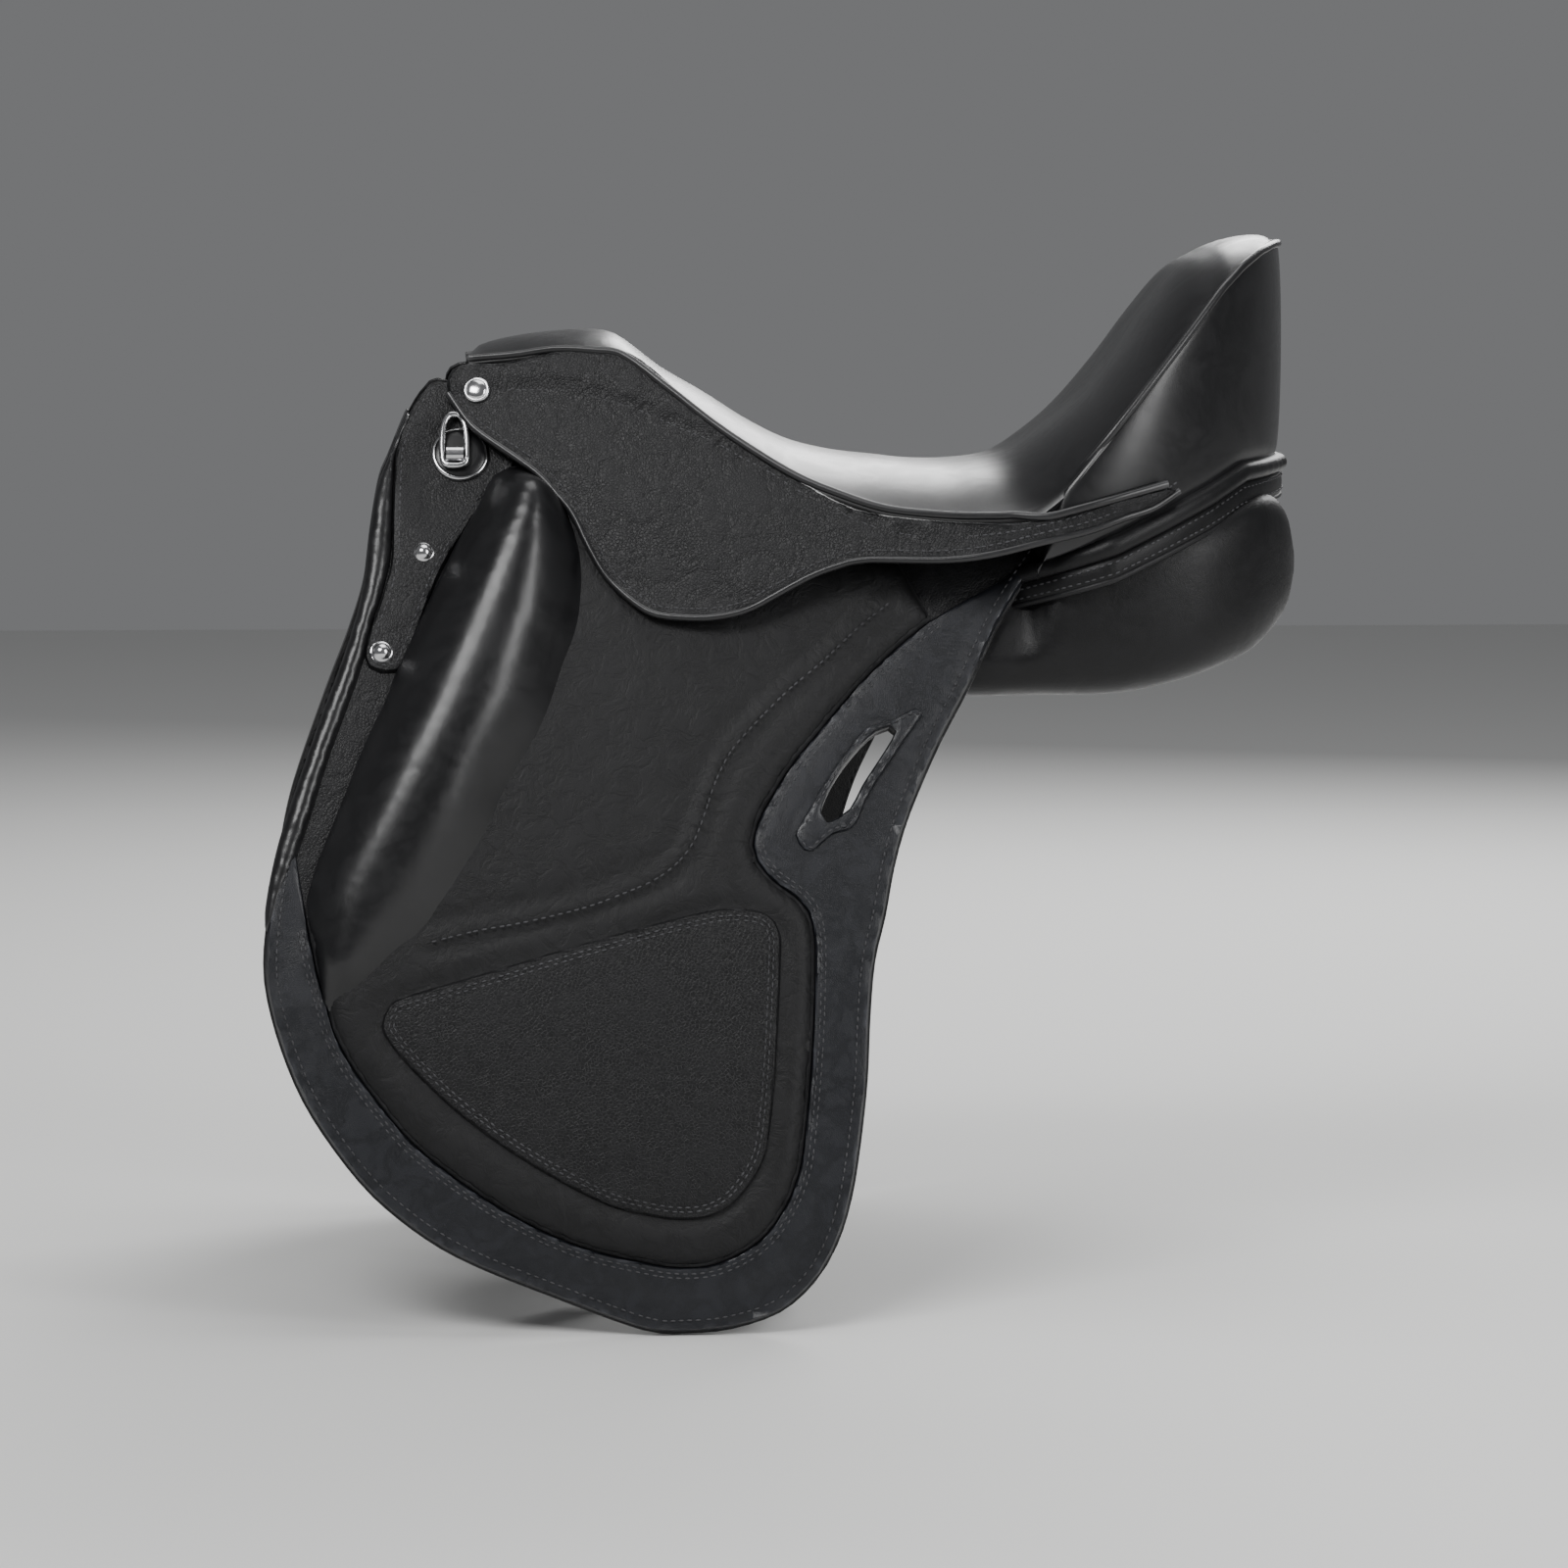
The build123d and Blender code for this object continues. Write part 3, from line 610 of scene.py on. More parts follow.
def seat_rim(start, end, side, step=4.0, grow=2.4, drop=-2.8):
    """Places along the seat's edge on one side, -1 for the near side."""
    count = int((end - start) / step)
    rim = []
    for i in range(count + 1):
        place = start + (end - start) * i / count
        edge, _, half = section_at(seat_stations, place)
        rim.append(Vector((place, side * (half + grow), edge - drop)) * MM)
    return rim


for side, sign in zip(SIDES, (-1, 1)):
    tail = [on_skirt(x, z, 5.0) for x, z in welt_tail]
    for p in tail:
        p.y *= -sign
    welt = piped("seat_welt_" + side, seat_rim(-246, 38, sign) + tail, welt_radius, seat_hide)
    fit_middle(welt, "seat_leather", "seat_welt_" + side)

# ------------------------------------------------------------------ cantle
# Behind the seat a gusset of hide wraps the back of the tree as a half circle.  A welt runs round
# its rim, a stuffed roll and a stitched band sit beneath, and each end is gathered in pleats.
rim_line = ((-4, 1), (10, 3), (20, 7), (32, 15), (45, 27), (74, 62), (113, 109), (134, 134), (138, 148))
roll_top = ((-4, 116), (31, 120), (52, 131), (105, 156), (148, 172))
roll_bottom = ((-4, 125), (31, 131), (52, 143), (105, 168), (148, 182))
band_bottom = ((-4, 138), (31, 145), (52, 156), (105, 180), (148, 193))
cantle_top = 213.0


def drop_at(line, ahead):
    """Height of a cantle line, given as (ahead of the rear, below the top), at a place."""
    for (a, low), (b, high) in zip(line, line[1:]):
        if ahead <= b:
            break
    share = max(0.0, (ahead - a) / (b - a))
    return cantle_top - (low + (high - low) * share)


tuck_start = math.radians(76)
tuck_depth = 0.26


def tucked(turn):
    """Share by which a strip draws in towards the panel as it passes under the flap."""
    return 1 - tuck_depth * (max(0.0, abs(turn) - tuck_start) / math.radians(24)) ** 1.5


def cantle_strip(name, upper, lower, puff, grow, paint, rows=16, steps=160, pleat=0.0, end=100.0,
                 tuck=True):
    """Closed strip round the half circle of the cantle, between two side-view lines."""
    mesh = bmesh.new()
    bmesh.ops.create_grid(mesh, x_segments=steps, y_segments=rows, size=1.0)
    reach = math.radians(end)
    for v in mesh.verts:
        turn = v.co.x * reach
        share = (v.co.y + 1) / 2
        radius = cantle_radius + grow
        x = cantle_middle + radius * math.cos(turn)
        y = radius * math.sin(turn)
        ahead = cantle_rear - x
        high, low = drop_at(upper, ahead), drop_at(lower, ahead)
        bulge = puff * math.sqrt(max(0.0, 1 - (2 * share - 1) ** 2))
        fold = pleat * bell(abs(turn) - math.radians(12), 0.22) * math.sin(turn * 90)
        v.co.x = cantle_middle + (x - cantle_middle) * (radius + bulge + fold) / radius
        v.co.y = y * (radius + bulge + fold) / radius * (tucked(turn) if tuck else 1.0)
        v.co.z = low + (high - low) * share
    for v in thickened(mesh):
        v.co.x = cantle_middle + (v.co.x - cantle_middle) * 0.955
        v.co.y *= 0.955
    for v in mesh.verts:
        v.co *= MM
    return object_from(mesh, name, paint)


gusset = cantle_strip("cantle_gusset", rim_line, roll_top, 3.0, -1.5, seat_hide, rows=26, end=93.0,
                      tuck=False)
roll = cantle_strip("panel_roll", roll_top, roll_bottom, 5.0, -0.5, panel_hide, rows=12, pleat=0.8)
band = cantle_strip("panel_band", roll_bottom, band_bottom, 2.0, 0.5, panel_hide, rows=10)
fit_middle(gusset, "seat_leather", "cantle_gusset", "cantle_bow", fill=0.8)
fit_middle(roll, "panel_leather", "panel_roll", fill=0.9)
fit_middle(band, "panel_leather", "panel_band")


def cantle_run(line, grow, rise=0.0, sweep=100.0, steps=90):
    """Places and outward directions along a cantle line, from one side to the other."""
    row = []
    for i in range(steps + 1):
        turn = math.radians(sweep) * (2 * i / steps - 1)
        out = Vector((math.cos(turn), math.sin(turn), 0))
        x = cantle_middle + (cantle_radius + grow) * out.x
        z = drop_at(line, cantle_rear - x) + rise
        row.append((Vector((x, (cantle_radius + grow) * out.y * tucked(turn), z)) * MM, out))
    return row


welt = piped("cantle_welt", [p for p, _ in cantle_run(rim_line, -0.8, rise=-0.6, sweep=89)], welt_radius,
             seat_hide)
fit_middle(welt, "seat_leather", "cantle_welt")
bead = piped("band_bead", [p for p, _ in cantle_run(band_bottom, 1.0)], 1.6, panel_hide)
fit_middle(bead, "panel_leather")
band_seam = sewn("band_seam", [cantle_run(roll_bottom, 2.4, rise=-2.5, steps=460),
                               cantle_run(band_bottom, 2.6, rise=3.5, steps=460)])
fit_middle(band_seam, "panel_leather")

# ------------------------------------------------------------------ panels
# Two long cushions of smooth hide stuffed with flock carry the saddle on the horse's back,
# with an open channel between them.  They swell at the back and close up towards the head.
panel_lines = (
    # forward place, middle from the centre line, half width, low, high
    (-250, 64, 18, 6, 74), (-238, 66, 24, -14, 84), (-210, 68, 32, -24, 84), (-170, 70, 37, -29, 72),
    (-120, 72, 39, -31, 58), (-60, 74, 41, -32, 50), (0, 78, 44, -32, 50), (50, 80, 46, -31, 56),
    (100, 79, 46, -30, 62), (135, 76, 44, -23, 68), (156, 71, 40, -16, 72), (174, 65, 33, -8, 76),
    (187, 58, 25, 3, 74), (196, 52, 16, 15, 63), (201, 47, 5, 31, 45))
panel_clear = 8.0


def make_panel():
    mesh = bmesh.new()
    around, along = 48, 110
    first, last = panel_lines[0][0], panel_lines[-1][0]
    bmesh.ops.create_cone(mesh, segments=around, radius1=1.0, radius2=1.0, depth=2.0, cap_ends=True)
    for k in range(1, along):
        slice_mesh(mesh, (0, 0, -1 + 2 * k / along), (0, 0, 1), 0.0001)
    for v in mesh.verts:
        place = first + (last - first) * (0.5 - 0.5 * math.cos((v.co.z + 1) / 2 * math.pi))
        middle, half, low, high = section_at(panel_lines, place)
        turn = math.atan2(v.co.y, v.co.x)
        c, s = math.cos(turn), math.sin(turn)
        end = min(1.0, (place - first) / 16.0)
        full = 0.55 + 0.45 * math.sqrt(max(0.0, 1 - (1 - end) ** 2))
        wide = half * math.copysign(abs(c) ** 0.62, c) * full
        tall = (high - low) / 2 * math.copysign(abs(s) ** 0.62, s) * full
        out, up = middle + wide, (low + high) / 2 + tall
        under_flap = math.sqrt(hang_radius ** 2 - (up - hang_axis[1]) ** 2) - hang_axis[0] - panel_clear
        out = min(out, under_flap + 1.4 * max(0.0, place - 50))
        v.co = Vector((place, -out, up)) * MM
    return object_from(mesh, "panel", panel_hide)


fit_pair(make_panel(), "panel", "saddle", nodes=("panel",))

# ------------------------------------------------------------------ flaps
# Each flap is one cut of grained cowhide from the skirt line to its round foot, with a rolled,
# creased edge.
front_edge = (
    (-281, 114), (-290, 94), (-294, 82), (-298, 61), (-303, 24), (-312, -6), (-325, -40), (-342, -88),
    (-349, -113), (-353, -138), (-355, -161))
foot_edge = (
    (-353, -180), (-346, -205), (-335, -231), (-319, -256), (-299, -280), (-273, -301), (-248, -315),
    (-209, -331), (-161, -349), (-138, -351), (-115, -349), (-90, -341), (-72, -326), (-60, -307),
    (-52, -283), (-47, -255), (-43, -223), (-41, -191), (-38, -163), (-32, -140), (-27, -116), (-21, -96),
    (-14, -79), (-1, -52), (14, -26), (32, 8), (46, 29), (56, 42))
head_edge = ((30, 52), (0, 52), (-60, 58), (-120, 66), (-180, 84), (-215, 100), (-245, 116), (-268, 124))
slot_hole = ((-35, -47), (-25, -47), (-43, -74), (-50, -86), (-62, -93), (-65, -88), (-59, -74), (-48, -59))
flap_outline = smooth_line(front_edge + foot_edge + head_edge, step=9)
slot_outline = smooth_line(slot_hole, step=6)
border_inner = (
    (-4, 11), (-27, -7), (-47, -26), (-64, -45), (-79, -62), (-90, -78), (-98, -92), (-101, -104),
    (-99, -112), (-91, -122), (-80, -130), (-73, -138), (-70, -150), (-70, -169), (-72, -206), (-76, -246),
    (-80, -270), (-89, -290), (-102, -305), (-122, -315), (-141, -317), (-161, -314), (-192, -306),
    (-223, -292), (-253, -273), (-279, -252), (-299, -228), (-311, -211), (-319, -195), (-322, -183),
    (-327, -166), (-332, -142))
border_groove = smooth_line(border_inner, closed=False, step=6)
edge_line = smooth_line(front_edge[-4:] + foot_edge, closed=False, step=6)


def flap_top(place, depth):
    rise = -1.2 * (1 - rounded(depth, 2.2))
    rise -= 0.45 * bell(depth - 3.4, 0.8)
    return rise


flap = lay_pattern("flap", flap_outline, on_flap, flap_top, -flap_leather, (cow_hide,), (slot_outline,),
                   cell=9.0)
fit_flap(flap, "flap", nodes=("flap", "flap_head"))

# ------------------------------------------------------------------ border
# A wide satin border is laid along the back and foot of the flap, skived thin and rolled at
# both edges.  Two rows of waxed thread hold its inner edge and one row its outer edge.
border_leather = 3.0
block_front = (
    (-332, -139), (-332, -129), (-327, -112), (-320, -95), (-310, -71), (-301, -49), (-291, -29),
    (-284, -12), (-257, 44), (-243, 68), (-233, 86))
edge_inner = inset_line(edge_line, 1.2)
border_outline = smooth_line(edge_inner[::2], closed=False, step=8) + border_groove


def border_top(place, depth):
    outer = line_distance(place, edge_line)
    inner = line_distance(place, border_groove)
    rise = border_leather * rounded(depth, 2.0)
    rise -= 0.5 * bell(inner - 4.0, 1.2) + 0.35 * bell(outer - 7.0, 1.0)
    rise -= 0.8 * bell(outer - 14.0, 7.0)
    return rise + 0.3


border = lay_pattern("border", border_outline, on_flap, border_top, -0.5, (border_hide,), (slot_outline,),
                     rings=(0.7, 1.1, 1.6), cell=6.0)
fit_flap(border, "flap_border", nodes=("flap_border",))
inner_rows = [inset_line(border_groove, 3.4), inset_line(border_groove, 5.6)]
outer_row = inset_line(edge_line, 7.0)
border_rows = [seam_row(row, on_flap, border_leather + 0.05) for row in inner_rows]
border_rows.append(seam_row(outer_row, on_flap, border_leather + 0.1))
fit_flap(sewn("border_seams", border_rows), "border_seams")

# ------------------------------------------------------------------ flap cushion
# Soft calf over thin foam fills the middle of the flap.  It swells out of the border's groove,
# and a raised seam quilts it behind the thigh block.
cushion_swell = 8.0
cushion_top = ((-214, 92), (-180, 84), (-140, 74), (-100, 62), (-60, 54), (-20, 40))
quilt_line = (
    (-29, 18), (-45, 6), (-63, -10), (-83, -26), (-100, -42), (-113, -56), (-122, -72), (-128, -88),
    (-134, -102), (-142, -112), (-153, -120), (-167, -126), (-190, -134), (-221, -141), (-245, -145),
    (-271, -151))
patch_edge = (
    (-294, -194), (-290, -184), (-280, -179), (-237, -167), (-191, -154), (-144, -142), (-120, -137),
    (-105, -137), (-94, -140), (-88, -149), (-88, -167), (-91, -213), (-95, -250), (-100, -267),
    (-112, -283), (-125, -291), (-141, -293), (-161, -290), (-184, -283), (-222, -262), (-253, -240),
    (-276, -219), (-290, -203))
quilt = smooth_line(quilt_line, closed=False, step=5)
patch_outline = smooth_line(patch_edge, step=6)
cushion_outline = smooth_line(border_inner, closed=False, step=6) + \
    smooth_line(block_front + cushion_top, closed=False, step=8)


def cushion_height(place, depth):
    seam = line_distance(place, quilt)
    rise = cushion_swell * (0.25 + 0.75 * rounded(depth - 1.0, 11.0))
    rise += 1.3 * bell(seam, 2.4) - 1.4 * bell(seam - 6.5, 4.0)
    rise -= 1.8 * bell(line_distance(place, patch_outline, True), 4.5)
    folds = noise.noise(Vector((place.x * 0.035, place.y * 0.035, 2.0))) * 0.5
    folds += noise.noise(Vector((place.x * 0.13 - place.y * 0.03, place.y * 0.10, 7.0))) * 0.16
    return rise + folds * min(1.0, depth / 15.0)


cushion = lay_pattern("cushion", cushion_outline, on_flap, cushion_height, -0.5, (calf_hide,),
                      rings=(0.8, 1.4, 2.2), cell=4.0, ease=2)
fit_flap(cushion, "flap_cushion", nodes=("flap_cushion",))
fit_flap(sewn("quilt_seam", [seam_row(inset_line(quilt, 2.2), on_flap, cushion_swell + 1.3)]),
         "quilt_seam")

# ------------------------------------------------------------------ grip patch
# A three-cornered patch of pebbled leather for the rider's calf is sunk a little into the
# cushion and held all round by two rows of stitches near its rolled edge.
patch_leather = 2.0


def patch_height(place, depth):
    rise = cushion_swell - 1.0 + patch_leather * rounded(depth, 2.5)
    rise -= 0.6 * bell(depth - 5.0, 1.4)
    return rise + 0.7 * min(1.0, depth / 30.0)


patch = lay_pattern("patch", patch_outline, on_flap, patch_height, cushion_swell - 4.0, (patch_hide,),
                    rings=(0.8, 1.4, 2.0, 2.6), cell=5.0)
fit_flap(patch, "grip_patch", nodes=("grip_patch",), bend=None)


def inside_of(line):
    turn = sum(a.x * b.y - b.x * a.y for a, b in zip(line, line[1:] + line[:1]))
    return 1 if turn > 0 else -1


patch_rows = []
for inset in (4.0, 6.2):
    row = inset_line(patch_outline, inset * inside_of(patch_outline), closed=True)
    patch_rows.append(seam_row(row + row[:1], on_flap, cushion_swell + 0.95))
fit_flap(sewn("patch_seams", patch_rows), "patch_seams", bend=None)

# ------------------------------------------------------------------ thigh block
# A firm foam block, long and tapering to its foot, is wrapped in smooth glossy calf.  Its ridge
# runs near the front, the front face is steep and the back face falls away softly.
block_height = 34.0
block_rear = (
    (-185, 35), (-187, 7), (-194, -12), (-204, -41), (-214, -59), (-225, -77), (-234, -97), (-245, -116),
    (-257, -135), (-269, -149), (-282, -160), (-306, -180), (-321, -186))
block_tip = ((-326, -168), (-329, -151))
block_cap = ((-225, 90), (-213, 87), (-200, 76), (-190, 56))
block_outline = smooth_line(block_tip + block_front + block_cap + block_rear, step=6)
block_ridge = smooth_line(((-212, 66), (-228, 20), (-248, -30), (-275, -85), (-300, -130), (-316, -162)),
                          closed=False, step=8)


def block_rise(place, depth):
    ridge = line_distance(place, block_ridge)
    share = depth / (depth + ridge + 0.01)
    down = min(1.0, max(0.0, (66 - place.y) / 235.0))
    tall = block_height * (1 - 0.62 * down ** 1.6)
    top = min(1.0, max(0.0, (92 - place.y) / 26.0))
    return 3.0 + tall * math.sin(min(1.0, share * 1.1) * math.pi / 2) * (0.6 + 0.4 * rounded(top, 1.0))


block = lay_pattern("block", block_outline, on_flap, block_rise, 1.0, (seat_hide,), rings=(1.0, 1.6, 2.4),
                    cell=3.6, ease=8)
fit_flap(block, "thigh_block", nodes=("thigh_block",))

# ------------------------------------------------------------------ front strap and front roll
# In front of the block a stitched strap carries two dome studs down from the head.  Along the
# flap's front edge a narrow roll of calf over cord runs from the head to the border.
strap_edge = (
    (-240, 128), (-262, 136), (-269, 132), (-275, 124), (-281, 112), (-285, 100), (-286, 88), (-287, 65),
    (-288, 42), (-293, 23), (-299, 7), (-302, -7), (-300, -12), (-294, -15), (-287, -15), (-280, -8),
    (-262, 36), (-238, 74), (-222, 96))
roll_line = (
    (-279, 120), (-290, 94), (-295, 82), (-299, 61), (-304, 24), (-313, -6), (-326, -40), (-343, -88),
    (-350, -113), (-354, -136), (-353, -146), (-349, -140))
roll_groove = (
    (-344, -126), (-338, -110), (-330, -87), (-321, -59), (-309, -27), (-303, -10), (-298, 10), (-293, 24),
    (-288, 44), (-287, 66), (-286, 88), (-284, 101), (-276, 116))
roll_swell = 6.0
strap_outline = smooth_line(strap_edge, step=5)
roll_outline = smooth_line(roll_line + roll_groove, step=5)


ring_well = Vector((-251, 86))
well_radius = 36.0


def strap_top(place, depth):
    """Height of the strap, skived thin round the ring so that the ring can lie down."""
    thick = 3.0 * rounded(depth, 2.0) - 0.4 * bell(depth - 3.6, 0.9)
    far = min(1.0, max(0.0, (place - ring_well).length / well_radius - 0.6) * 2.5)
    return 0.5 + thick * (0.2 + 0.8 * far)


def roll_top_height(place, depth):
    return roll_swell * rounded(depth, 6.5)


strap = lay_pattern("strap", strap_outline, on_flap, strap_top, -0.5, (cow_hide,), rings=(0.7, 1.0, 1.5),
                    cell=6.0)
fit_flap(strap, "front_strap", nodes=("front_strap",))
front_roll = lay_pattern("roll", roll_outline, on_flap, roll_top_height, -4.5, (seat_hide,), rings=(0.8, 1.2),
                         cell=4.0, ease=7)
fit_flap(front_roll, "front_roll", nodes=("front_roll",))
strap_row = inset_line(strap_outline, 3.6 * inside_of(strap_outline), closed=True)
fit_flap(sewn("strap_seam", [seam_row(strap_row, on_flap, lambda p: strap_top(p, 3.6) + 0.05)]),
         "strap_seam")

# ------------------------------------------------------------------ girth keeper
# A six-sided leather frame is stitched over the slot behind the rider's leg, where the end of a
# girth strap is tucked in.
keeper_edge = (
    (-10, -37), (-16, -46), (-22, -54), (-39, -78), (-48, -95), (-59, -99), (-71, -108), (-77, -104),
    (-79, -99), (-70, -84), (-62, -72), (-51, -57), (-40, -45), (-27, -41), (-14, -35))
keeper_outline = smooth_line(keeper_edge, step=4)


def keeper_top(place, depth):
    lip = line_distance(place, slot_outline, True) - 2.5
    return border_leather + 2.4 * rounded(depth, 1.8) + 0.8 * bell(lip, 1.5)


keeper = lay_pattern("keeper", keeper_outline, on_flap, keeper_top, border_leather - 1.5, (border_hide,),
                     (slot_outline,), rings=(0.6, 0.8, 1.0), cell=6.0)
fit_flap(keeper, "keeper_frame", nodes=("keeper_frame",), bend=None)
keeper_row = inset_line(keeper_outline, 2.2 * inside_of(keeper_outline), closed=True)
fit_flap(sewn("keeper_seam", [seam_row(keeper_row, on_flap, border_leather + 2.4)]),
         "keeper_seam", bend=None)

# ------------------------------------------------------------------ skirts
# Each skirt is one blocked cut of cowhide, nailed at the head and sewn to the seat's welt, that
# covers the stirrup bar.  A seam parts its padded upper edge from the creased lower part.
skirt_leather = 4.0
skirt_top_line = (
    (-257, 138), (-250, 144), (-228, 145), (-208, 150), (-192, 154), (-178, 154), (-165, 152), (-155, 147),
    (-145, 139), (-130, 125), (-116, 112), (-101, 102), (-87, 92), (-72, 83), (-58, 75), (-44, 69),
    (-30, 66), (-2, 63), (22, 62), (40, 62), (60, 65), (85, 71), (105, 76), (122, 79))
skirt_low_line = (
    (127, 78), (112, 69), (98, 65), (78, 58), (52, 52), (26, 46), (0, 43), (-40, 43), (-54, 40), (-68, 35),
    (-85, 26), (-102, 17), (-120, 13), (-138, 13), (-152, 15), (-164, 23), (-176, 35), (-185, 51),
    (-189, 60), (-194, 69), (-201, 77), (-209, 86), (-221, 95), (-233, 103), (-244, 111), (-251, 120),
    (-257, 129))
skirt_seam_line = (
    (-240, 131), (-224, 132), (-204, 132), (-189, 131), (-175, 127), (-160, 123), (-146, 117), (-132, 111),
    (-117, 105), (-103, 97), (-88, 89), (-74, 80), (-59, 72), (-45, 65), (-31, 60), (-17, 57), (1, 56),
    (21, 57), (37, 59), (56, 63), (80, 69))
skirt_outline = smooth_line(skirt_top_line + skirt_low_line, step=6)
skirt_seam = smooth_line(skirt_seam_line, closed=False, step=5)
nail_place = Vector((-242, 130))


def skirt_top(place, depth):
    seam = line_distance(place, skirt_seam)
    nearest = min(skirt_seam, key=lambda p: abs(p.x - place.x))
    rise = skirt_leather - 1.2 * (1 - rounded(depth, 2.0))
    if place.y > nearest.y:
        rise += 2.2 * rounded(seam, 7.0) * rounded(depth, 5.0)
    else:
        reach = (place - nail_place).length
        fan = math.atan2(place.y - nail_place.y, place.x - nail_place.x)
        folds = noise.noise(Vector((fan * 9.0, reach * 0.012, 1.0)))
        rise += 0.55 * folds * min(1.0, seam / 8.0) * min(1.0, depth / 10.0) * min(1.0, reach / 40.0)
    return rise - 0.8 * bell(seam, 1.6)


skirt = lay_pattern("skirt", skirt_outline, on_skirt, skirt_top, 0.0, (cow_hide,), rings=(0.8, 1.2, 1.8),
                    cell=4.5)
fit_pair(skirt, "skirt", "skirt_{}_lift", nodes=("skirt", "skirt_yoke"), bend=skirt_hinge)
low_line = smooth_line(skirt_low_line, closed=False, step=6)
piping = piped("piping", [on_skirt(p.x, p.y, 2.6) for p in low_line], 2.0, seat_hide)
fit_pair(piping, "skirt_piping", "skirt_{}_lift", nodes=("skirt_piping",), bend=skirt_hinge)
skirt_rows = [seam_row(inset_line(low_line, -4.2), on_skirt, skirt_leather),
              seam_row(inset_line(skirt_seam, -1.6), on_skirt, skirt_leather - 0.3)]
fit_pair(sewn("skirt_seams", skirt_rows, pitch=4.0),
         "skirt_seams", "skirt_{}_lift", bend=skirt_hinge)

# ------------------------------------------------------------------ metal, wood and webbing
# Stainless fittings are cast and polished.  The tree is lacquered beech and spring steel, the
# seat and billets hang on woven cotton and nylon web, and the billets are bridle leather.
def make_worked_group():
    tree, start, end = new_group(
        "worked grain",
        [("Scale", "NodeSocketFloat", 30.0), ("Fine Scale", "NodeSocketFloat", 270.0),
         ("Fine Detail", "NodeSocketFloat", 2.0), ("Weave", "NodeSocketFloat", 0.0),
         ("Stretch", "NodeSocketVector", (1.0, 1.0, 1.0))],
        [("Mask", "NodeSocketFloat")])
    place = tree.nodes.new("ShaderNodeTexCoord")
    turn = tree.nodes.new("ShaderNodeMapping")
    tree.links.new(start.outputs["Stretch"], turn.inputs["Scale"])
    tree.links.new(place.outputs["Object"], turn.inputs["Vector"])
    grain = add_node(tree, "ShaderNodeTexNoise", Detail=4.0)
    weave = tree.nodes.new("ShaderNodeTexChecker")
    fine = tree.nodes.new("ShaderNodeTexNoise")
    for node, scale in ((grain, "Scale"), (weave, "Scale"), (fine, "Fine Scale")):
        tree.links.new(start.outputs[scale], node.inputs["Scale"])
        tree.links.new(turn.outputs["Vector"], node.inputs["Vector"])
    tree.links.new(start.outputs["Fine Detail"], fine.inputs["Detail"])
    kind = tree.nodes.new("ShaderNodeMix")
    tree.links.new(start.outputs["Weave"], kind.inputs[0])
    tree.links.new(grain.outputs["Fac"], kind.inputs[2])
    tree.links.new(weave.outputs["Fac"], kind.inputs[3])
    tree.links.new(maths(tree, "ADD", maths(tree, "MULTIPLY", kind.outputs[0], 0.7),
                         maths(tree, "MULTIPLY", fine.outputs["Fac"], 0.3)), end.inputs["Mask"])
    return tree


worked_grain = make_worked_group()


def finish(name, colour, other, rough, metallic=0.0, scale=30.0, stretch=(1, 1, 1), bump=0.1, weave=False):
    fine_scale, fine_detail = (2, 3.0) if weave else (9, 2.0)
    paint, tree, shader, worked = new_paint(name, worked_grain, scale, scale * fine_scale, fine_detail,
                                            float(weave), stretch)
    mask = worked.outputs["Mask"]
    tree.links.new(mix_colour(tree, mask, colour, other), shader.inputs["Base Color"])
    shader.inputs["Metallic"].default_value = metallic
    dress(tree, shader, mask, rough * 0.7, rough * 1.3, mask, bump, 0.0004)
    return paint


bright_steel = finish("polished steel", (0.52, 0.52, 0.53), (0.66, 0.66, 0.67), 0.16, 1.0, scale=160,
                      bump=0.04)
spring_steel = finish("spring steel", (0.16, 0.16, 0.17), (0.26, 0.26, 0.27), 0.35, 1.0, scale=60, bump=0.15)
beech = finish("lacquered beech", (0.23, 0.12, 0.055), (0.36, 0.21, 0.10), 0.4, scale=24,
               stretch=(0.15, 1, 1))
cotton_web = finish("woven web", (0.05, 0.05, 0.052), (0.14, 0.14, 0.14), 0.8, scale=420, bump=0.5,
                    weave=True)
lining_felt = finish("channel lining", (0.012, 0.012, 0.013), (0.03, 0.03, 0.032), 0.8, scale=300, bump=0.4)

node_paints = {"tree_rails": beech, "tree_head": spring_steel, "seat_web": cotton_web,
               "tree_rivets": bright_steel, "gullet_lining": lining_felt}
side_paints = {"billet_webs": cotton_web, "front_billet": bridle_hide, "rear_billet": bridle_hide,
               "stirrup_bar": spring_steel, "bar_catch": spring_steel, "ring_plate": bright_steel,
               "ring_barrel": bright_steel, "d_ring": bright_steel, "dome_studs": bright_steel,
               "skirt_nail": bright_steel}
for side in SIDES:
    node_paints.update({f"{node}_{side}": paint for node, paint in side_paints.items()})
for node, paint in node_paints.items():
    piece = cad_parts[node]
    piece.data.materials.clear()
    piece.data.materials.append(paint)

# ------------------------------------------------------------------ saddle nails
# A round-headed nail with a turned rim holds the front corner of each skirt to the head.
nail_radius = 7.2


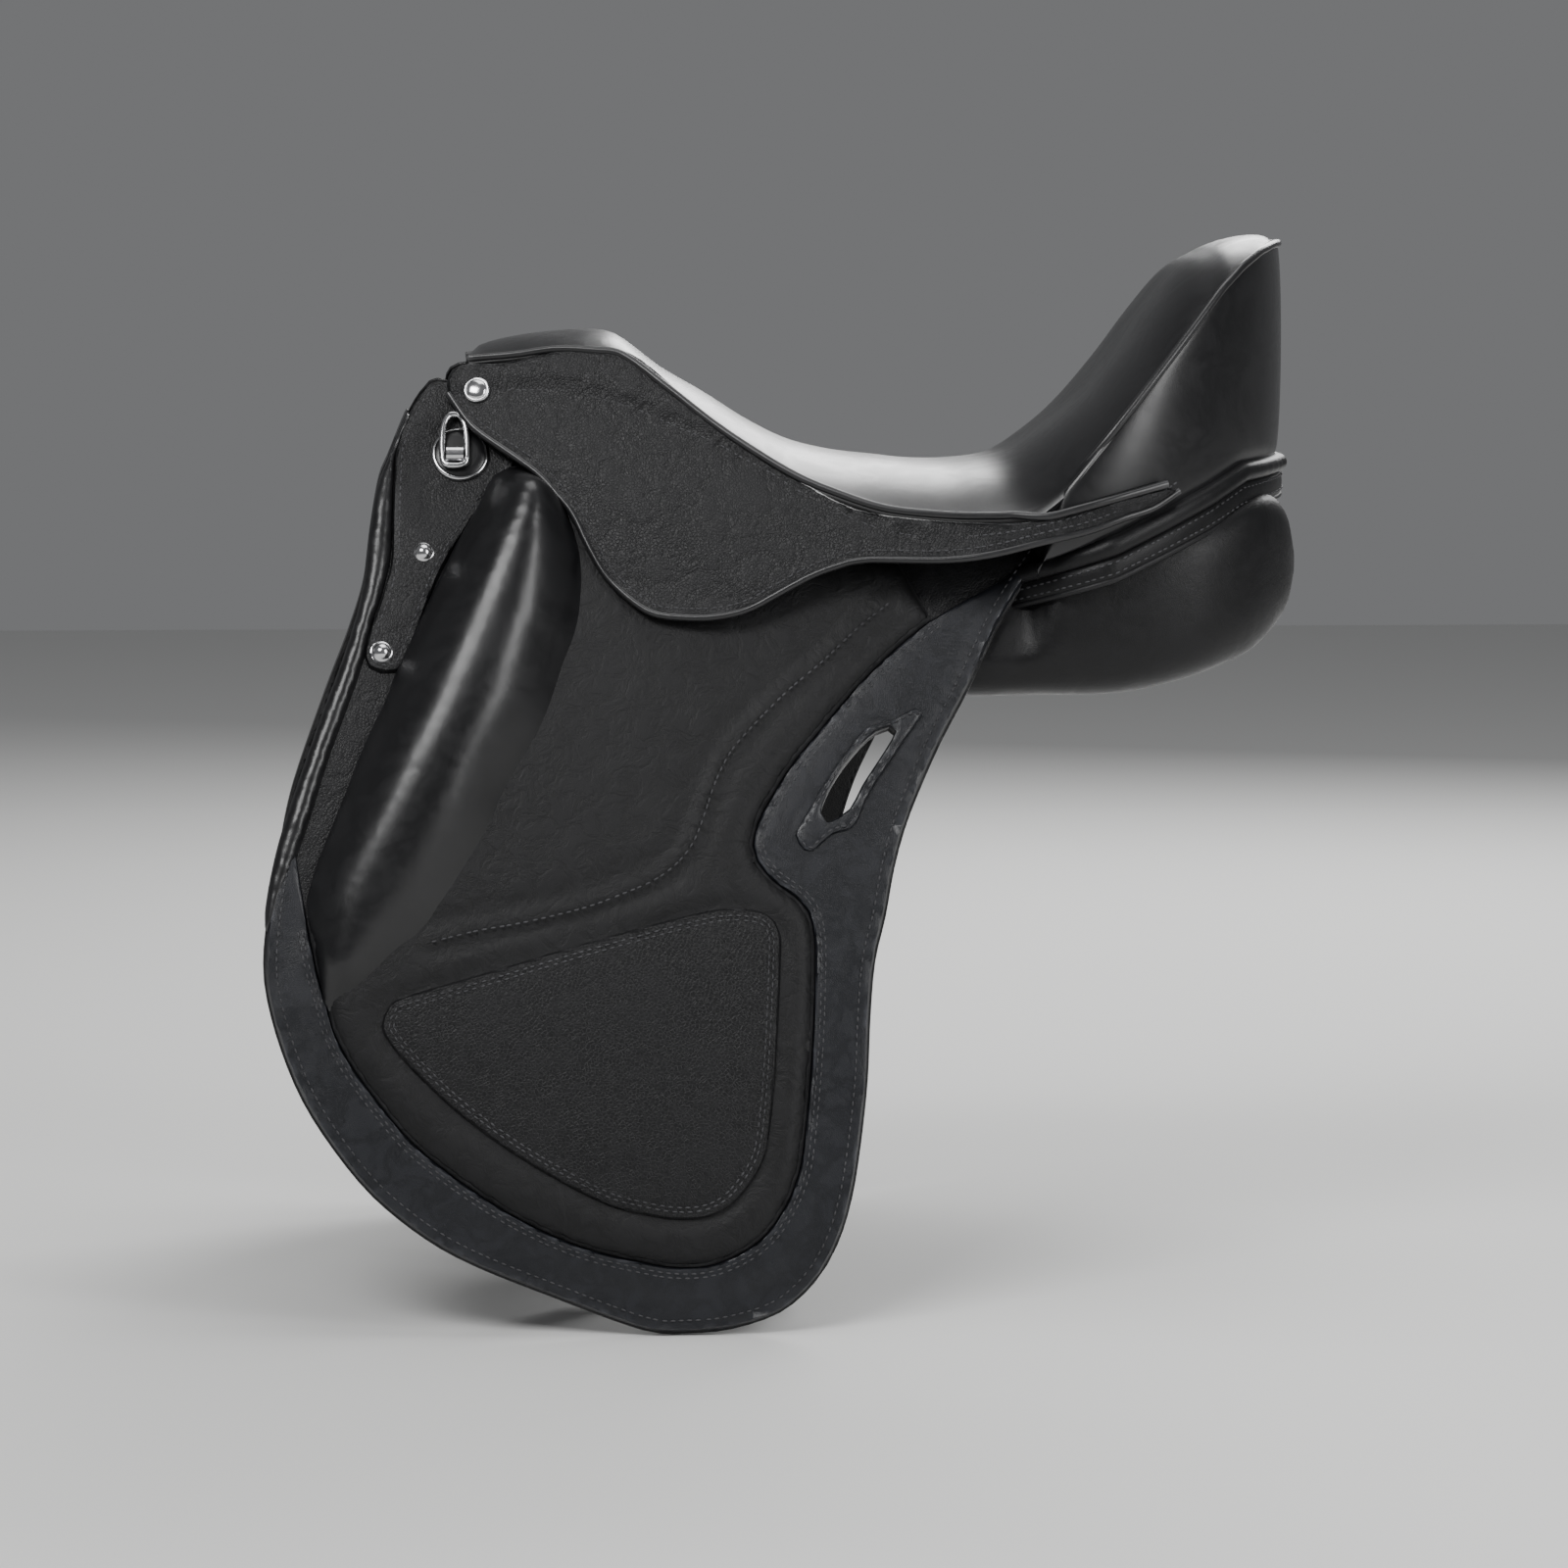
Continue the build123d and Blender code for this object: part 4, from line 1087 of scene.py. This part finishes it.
def lathe(name, outline, centre, outward, paint, steps=40):
    """Turned piece: outline points are (radius, height) in millimetres, from the top middle out and down."""
    mesh = bmesh.new()
    line = [mesh.verts.new((r * MM, 0, h * MM)) for r, h in outline]
    edges = [mesh.edges.new((a, b)) for a, b in zip(line, line[1:])]
    bmesh.ops.spin(mesh, geom=line + edges, cent=(0, 0, 0), axis=(0, 0, 1), dvec=(0, 0, 0),
                   angle=math.tau, steps=steps, use_merge=True)
    bmesh.ops.remove_doubles(mesh, verts=mesh.verts, dist=0.00001)
    turn = Vector(outward).to_track_quat("Z", "Y").to_matrix().to_4x4()
    bmesh.ops.transform(mesh, matrix=Matrix.Translation(centre) @ turn, verts=mesh.verts)
    return object_from(mesh, name, paint)


skirt_out = Vector((-0.12, -0.905, 0.405))
nail_seat = on_skirt(-242, 130, skirt_leather)
nail = lathe("nail", ((0, 3.4), (2.0, 3.3), (4.2, 2.9), (5.2, 2.4), (5.5, 2.0), (5.9, 2.2), (6.6, 2.1),
                      (nail_radius, 1.2), (nail_radius, -1.0), (0, -1.0)), nail_seat, skirt_out, bright_steel)
fit_pair(nail, "skirt_nail", "saddle", nodes=("skirt_nail",))

# ------------------------------------------------------------------ dome studs
# Two small polished domes on turned feet are riveted through the front strap.
stud_outline = (
    (0, 3.8), (1.4, 3.6), (3.0, 2.9), (4.3, 1.7), (5.0, 0.5), (5.9, 0.4), (6.1, -0.2), (6.1, -1.5),
    (0, -1.5))
studs = []
for place in ((-271, 46), (-293, -5)):
    low = on_flap(*place, 3.0)
    out = (on_flap(*place, 6.0) - low).normalized()
    studs.append(lathe("stud", stud_outline, low, out, bright_steel, steps=32))
mesh = bmesh.new()
for stud in studs:
    mesh.from_mesh(stud.data)
    bpy.data.objects.remove(stud)
stud_pair = object_from(mesh, "studs", bright_steel)
fit_flap(stud_pair, "dome_studs", nodes=("dome_studs",), bend=None)

# ------------------------------------------------------------------ ring on the head
# A forged ring, narrow at its crown, turns in a barrel that a slotted screw holds to a round plate.
ring_low, ring_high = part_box("d_ring_left")
ring_middle = (Vector(ring_low) + Vector(ring_high)) / 2
ring_wire = 1.75
ring_shape = (
    (-6.2, -13), (-6.6, -6), (-6.6, 2), (-5.4, 9), (-2.8, 13.0), (0, 13.6), (2.8, 13.0), (5.4, 9), (6.6, 2),
    (6.6, -6), (6.2, -13), (0, -13.6))
ring_thick = 2 * ring_wire * MM
ring_tilt = (ring_high[1] - ring_low[1] - ring_thick) / (ring_high[2] - ring_low[2] - ring_thick)
ring_line = [ring_middle + Vector((x, z * ring_tilt, z)) * MM for x, z in ring_shape]
ring = piped("ring", ring_line, ring_wire, bright_steel, ring=True)
fit_pair(ring, "d_ring", "ring_{}", nodes=("d_ring",))
plate_place = on_flap(-251, 97, 1.4)
plate_out = (on_flap(-251, 97, 6.0) - on_flap(-251, 97, 3.0)).normalized()
plate = lathe("plate", ((0, 2.4), (9.0, 2.4), (12.6, 2.0), (13.4, 1.5), (13.8, 2.1), (14.6, 2.0), (15.0, 1.0),
                        (15.0, -1.0), (0, -1.0)), plate_place, plate_out, seat_hide, steps=56)
fit_pair(plate, "ring_plate", "saddle", nodes=("ring_plate",))
rim = lathe("rim", ((13.9, 2.3), (14.7, 2.2), (15.3, 1.2), (15.3, -0.6), (14.4, -0.6), (14.2, 1.4),
                    (13.9, 2.3)), plate_place, plate_out, bright_steel, steps=64)
fit_pair(rim, "ring_rim", "saddle")
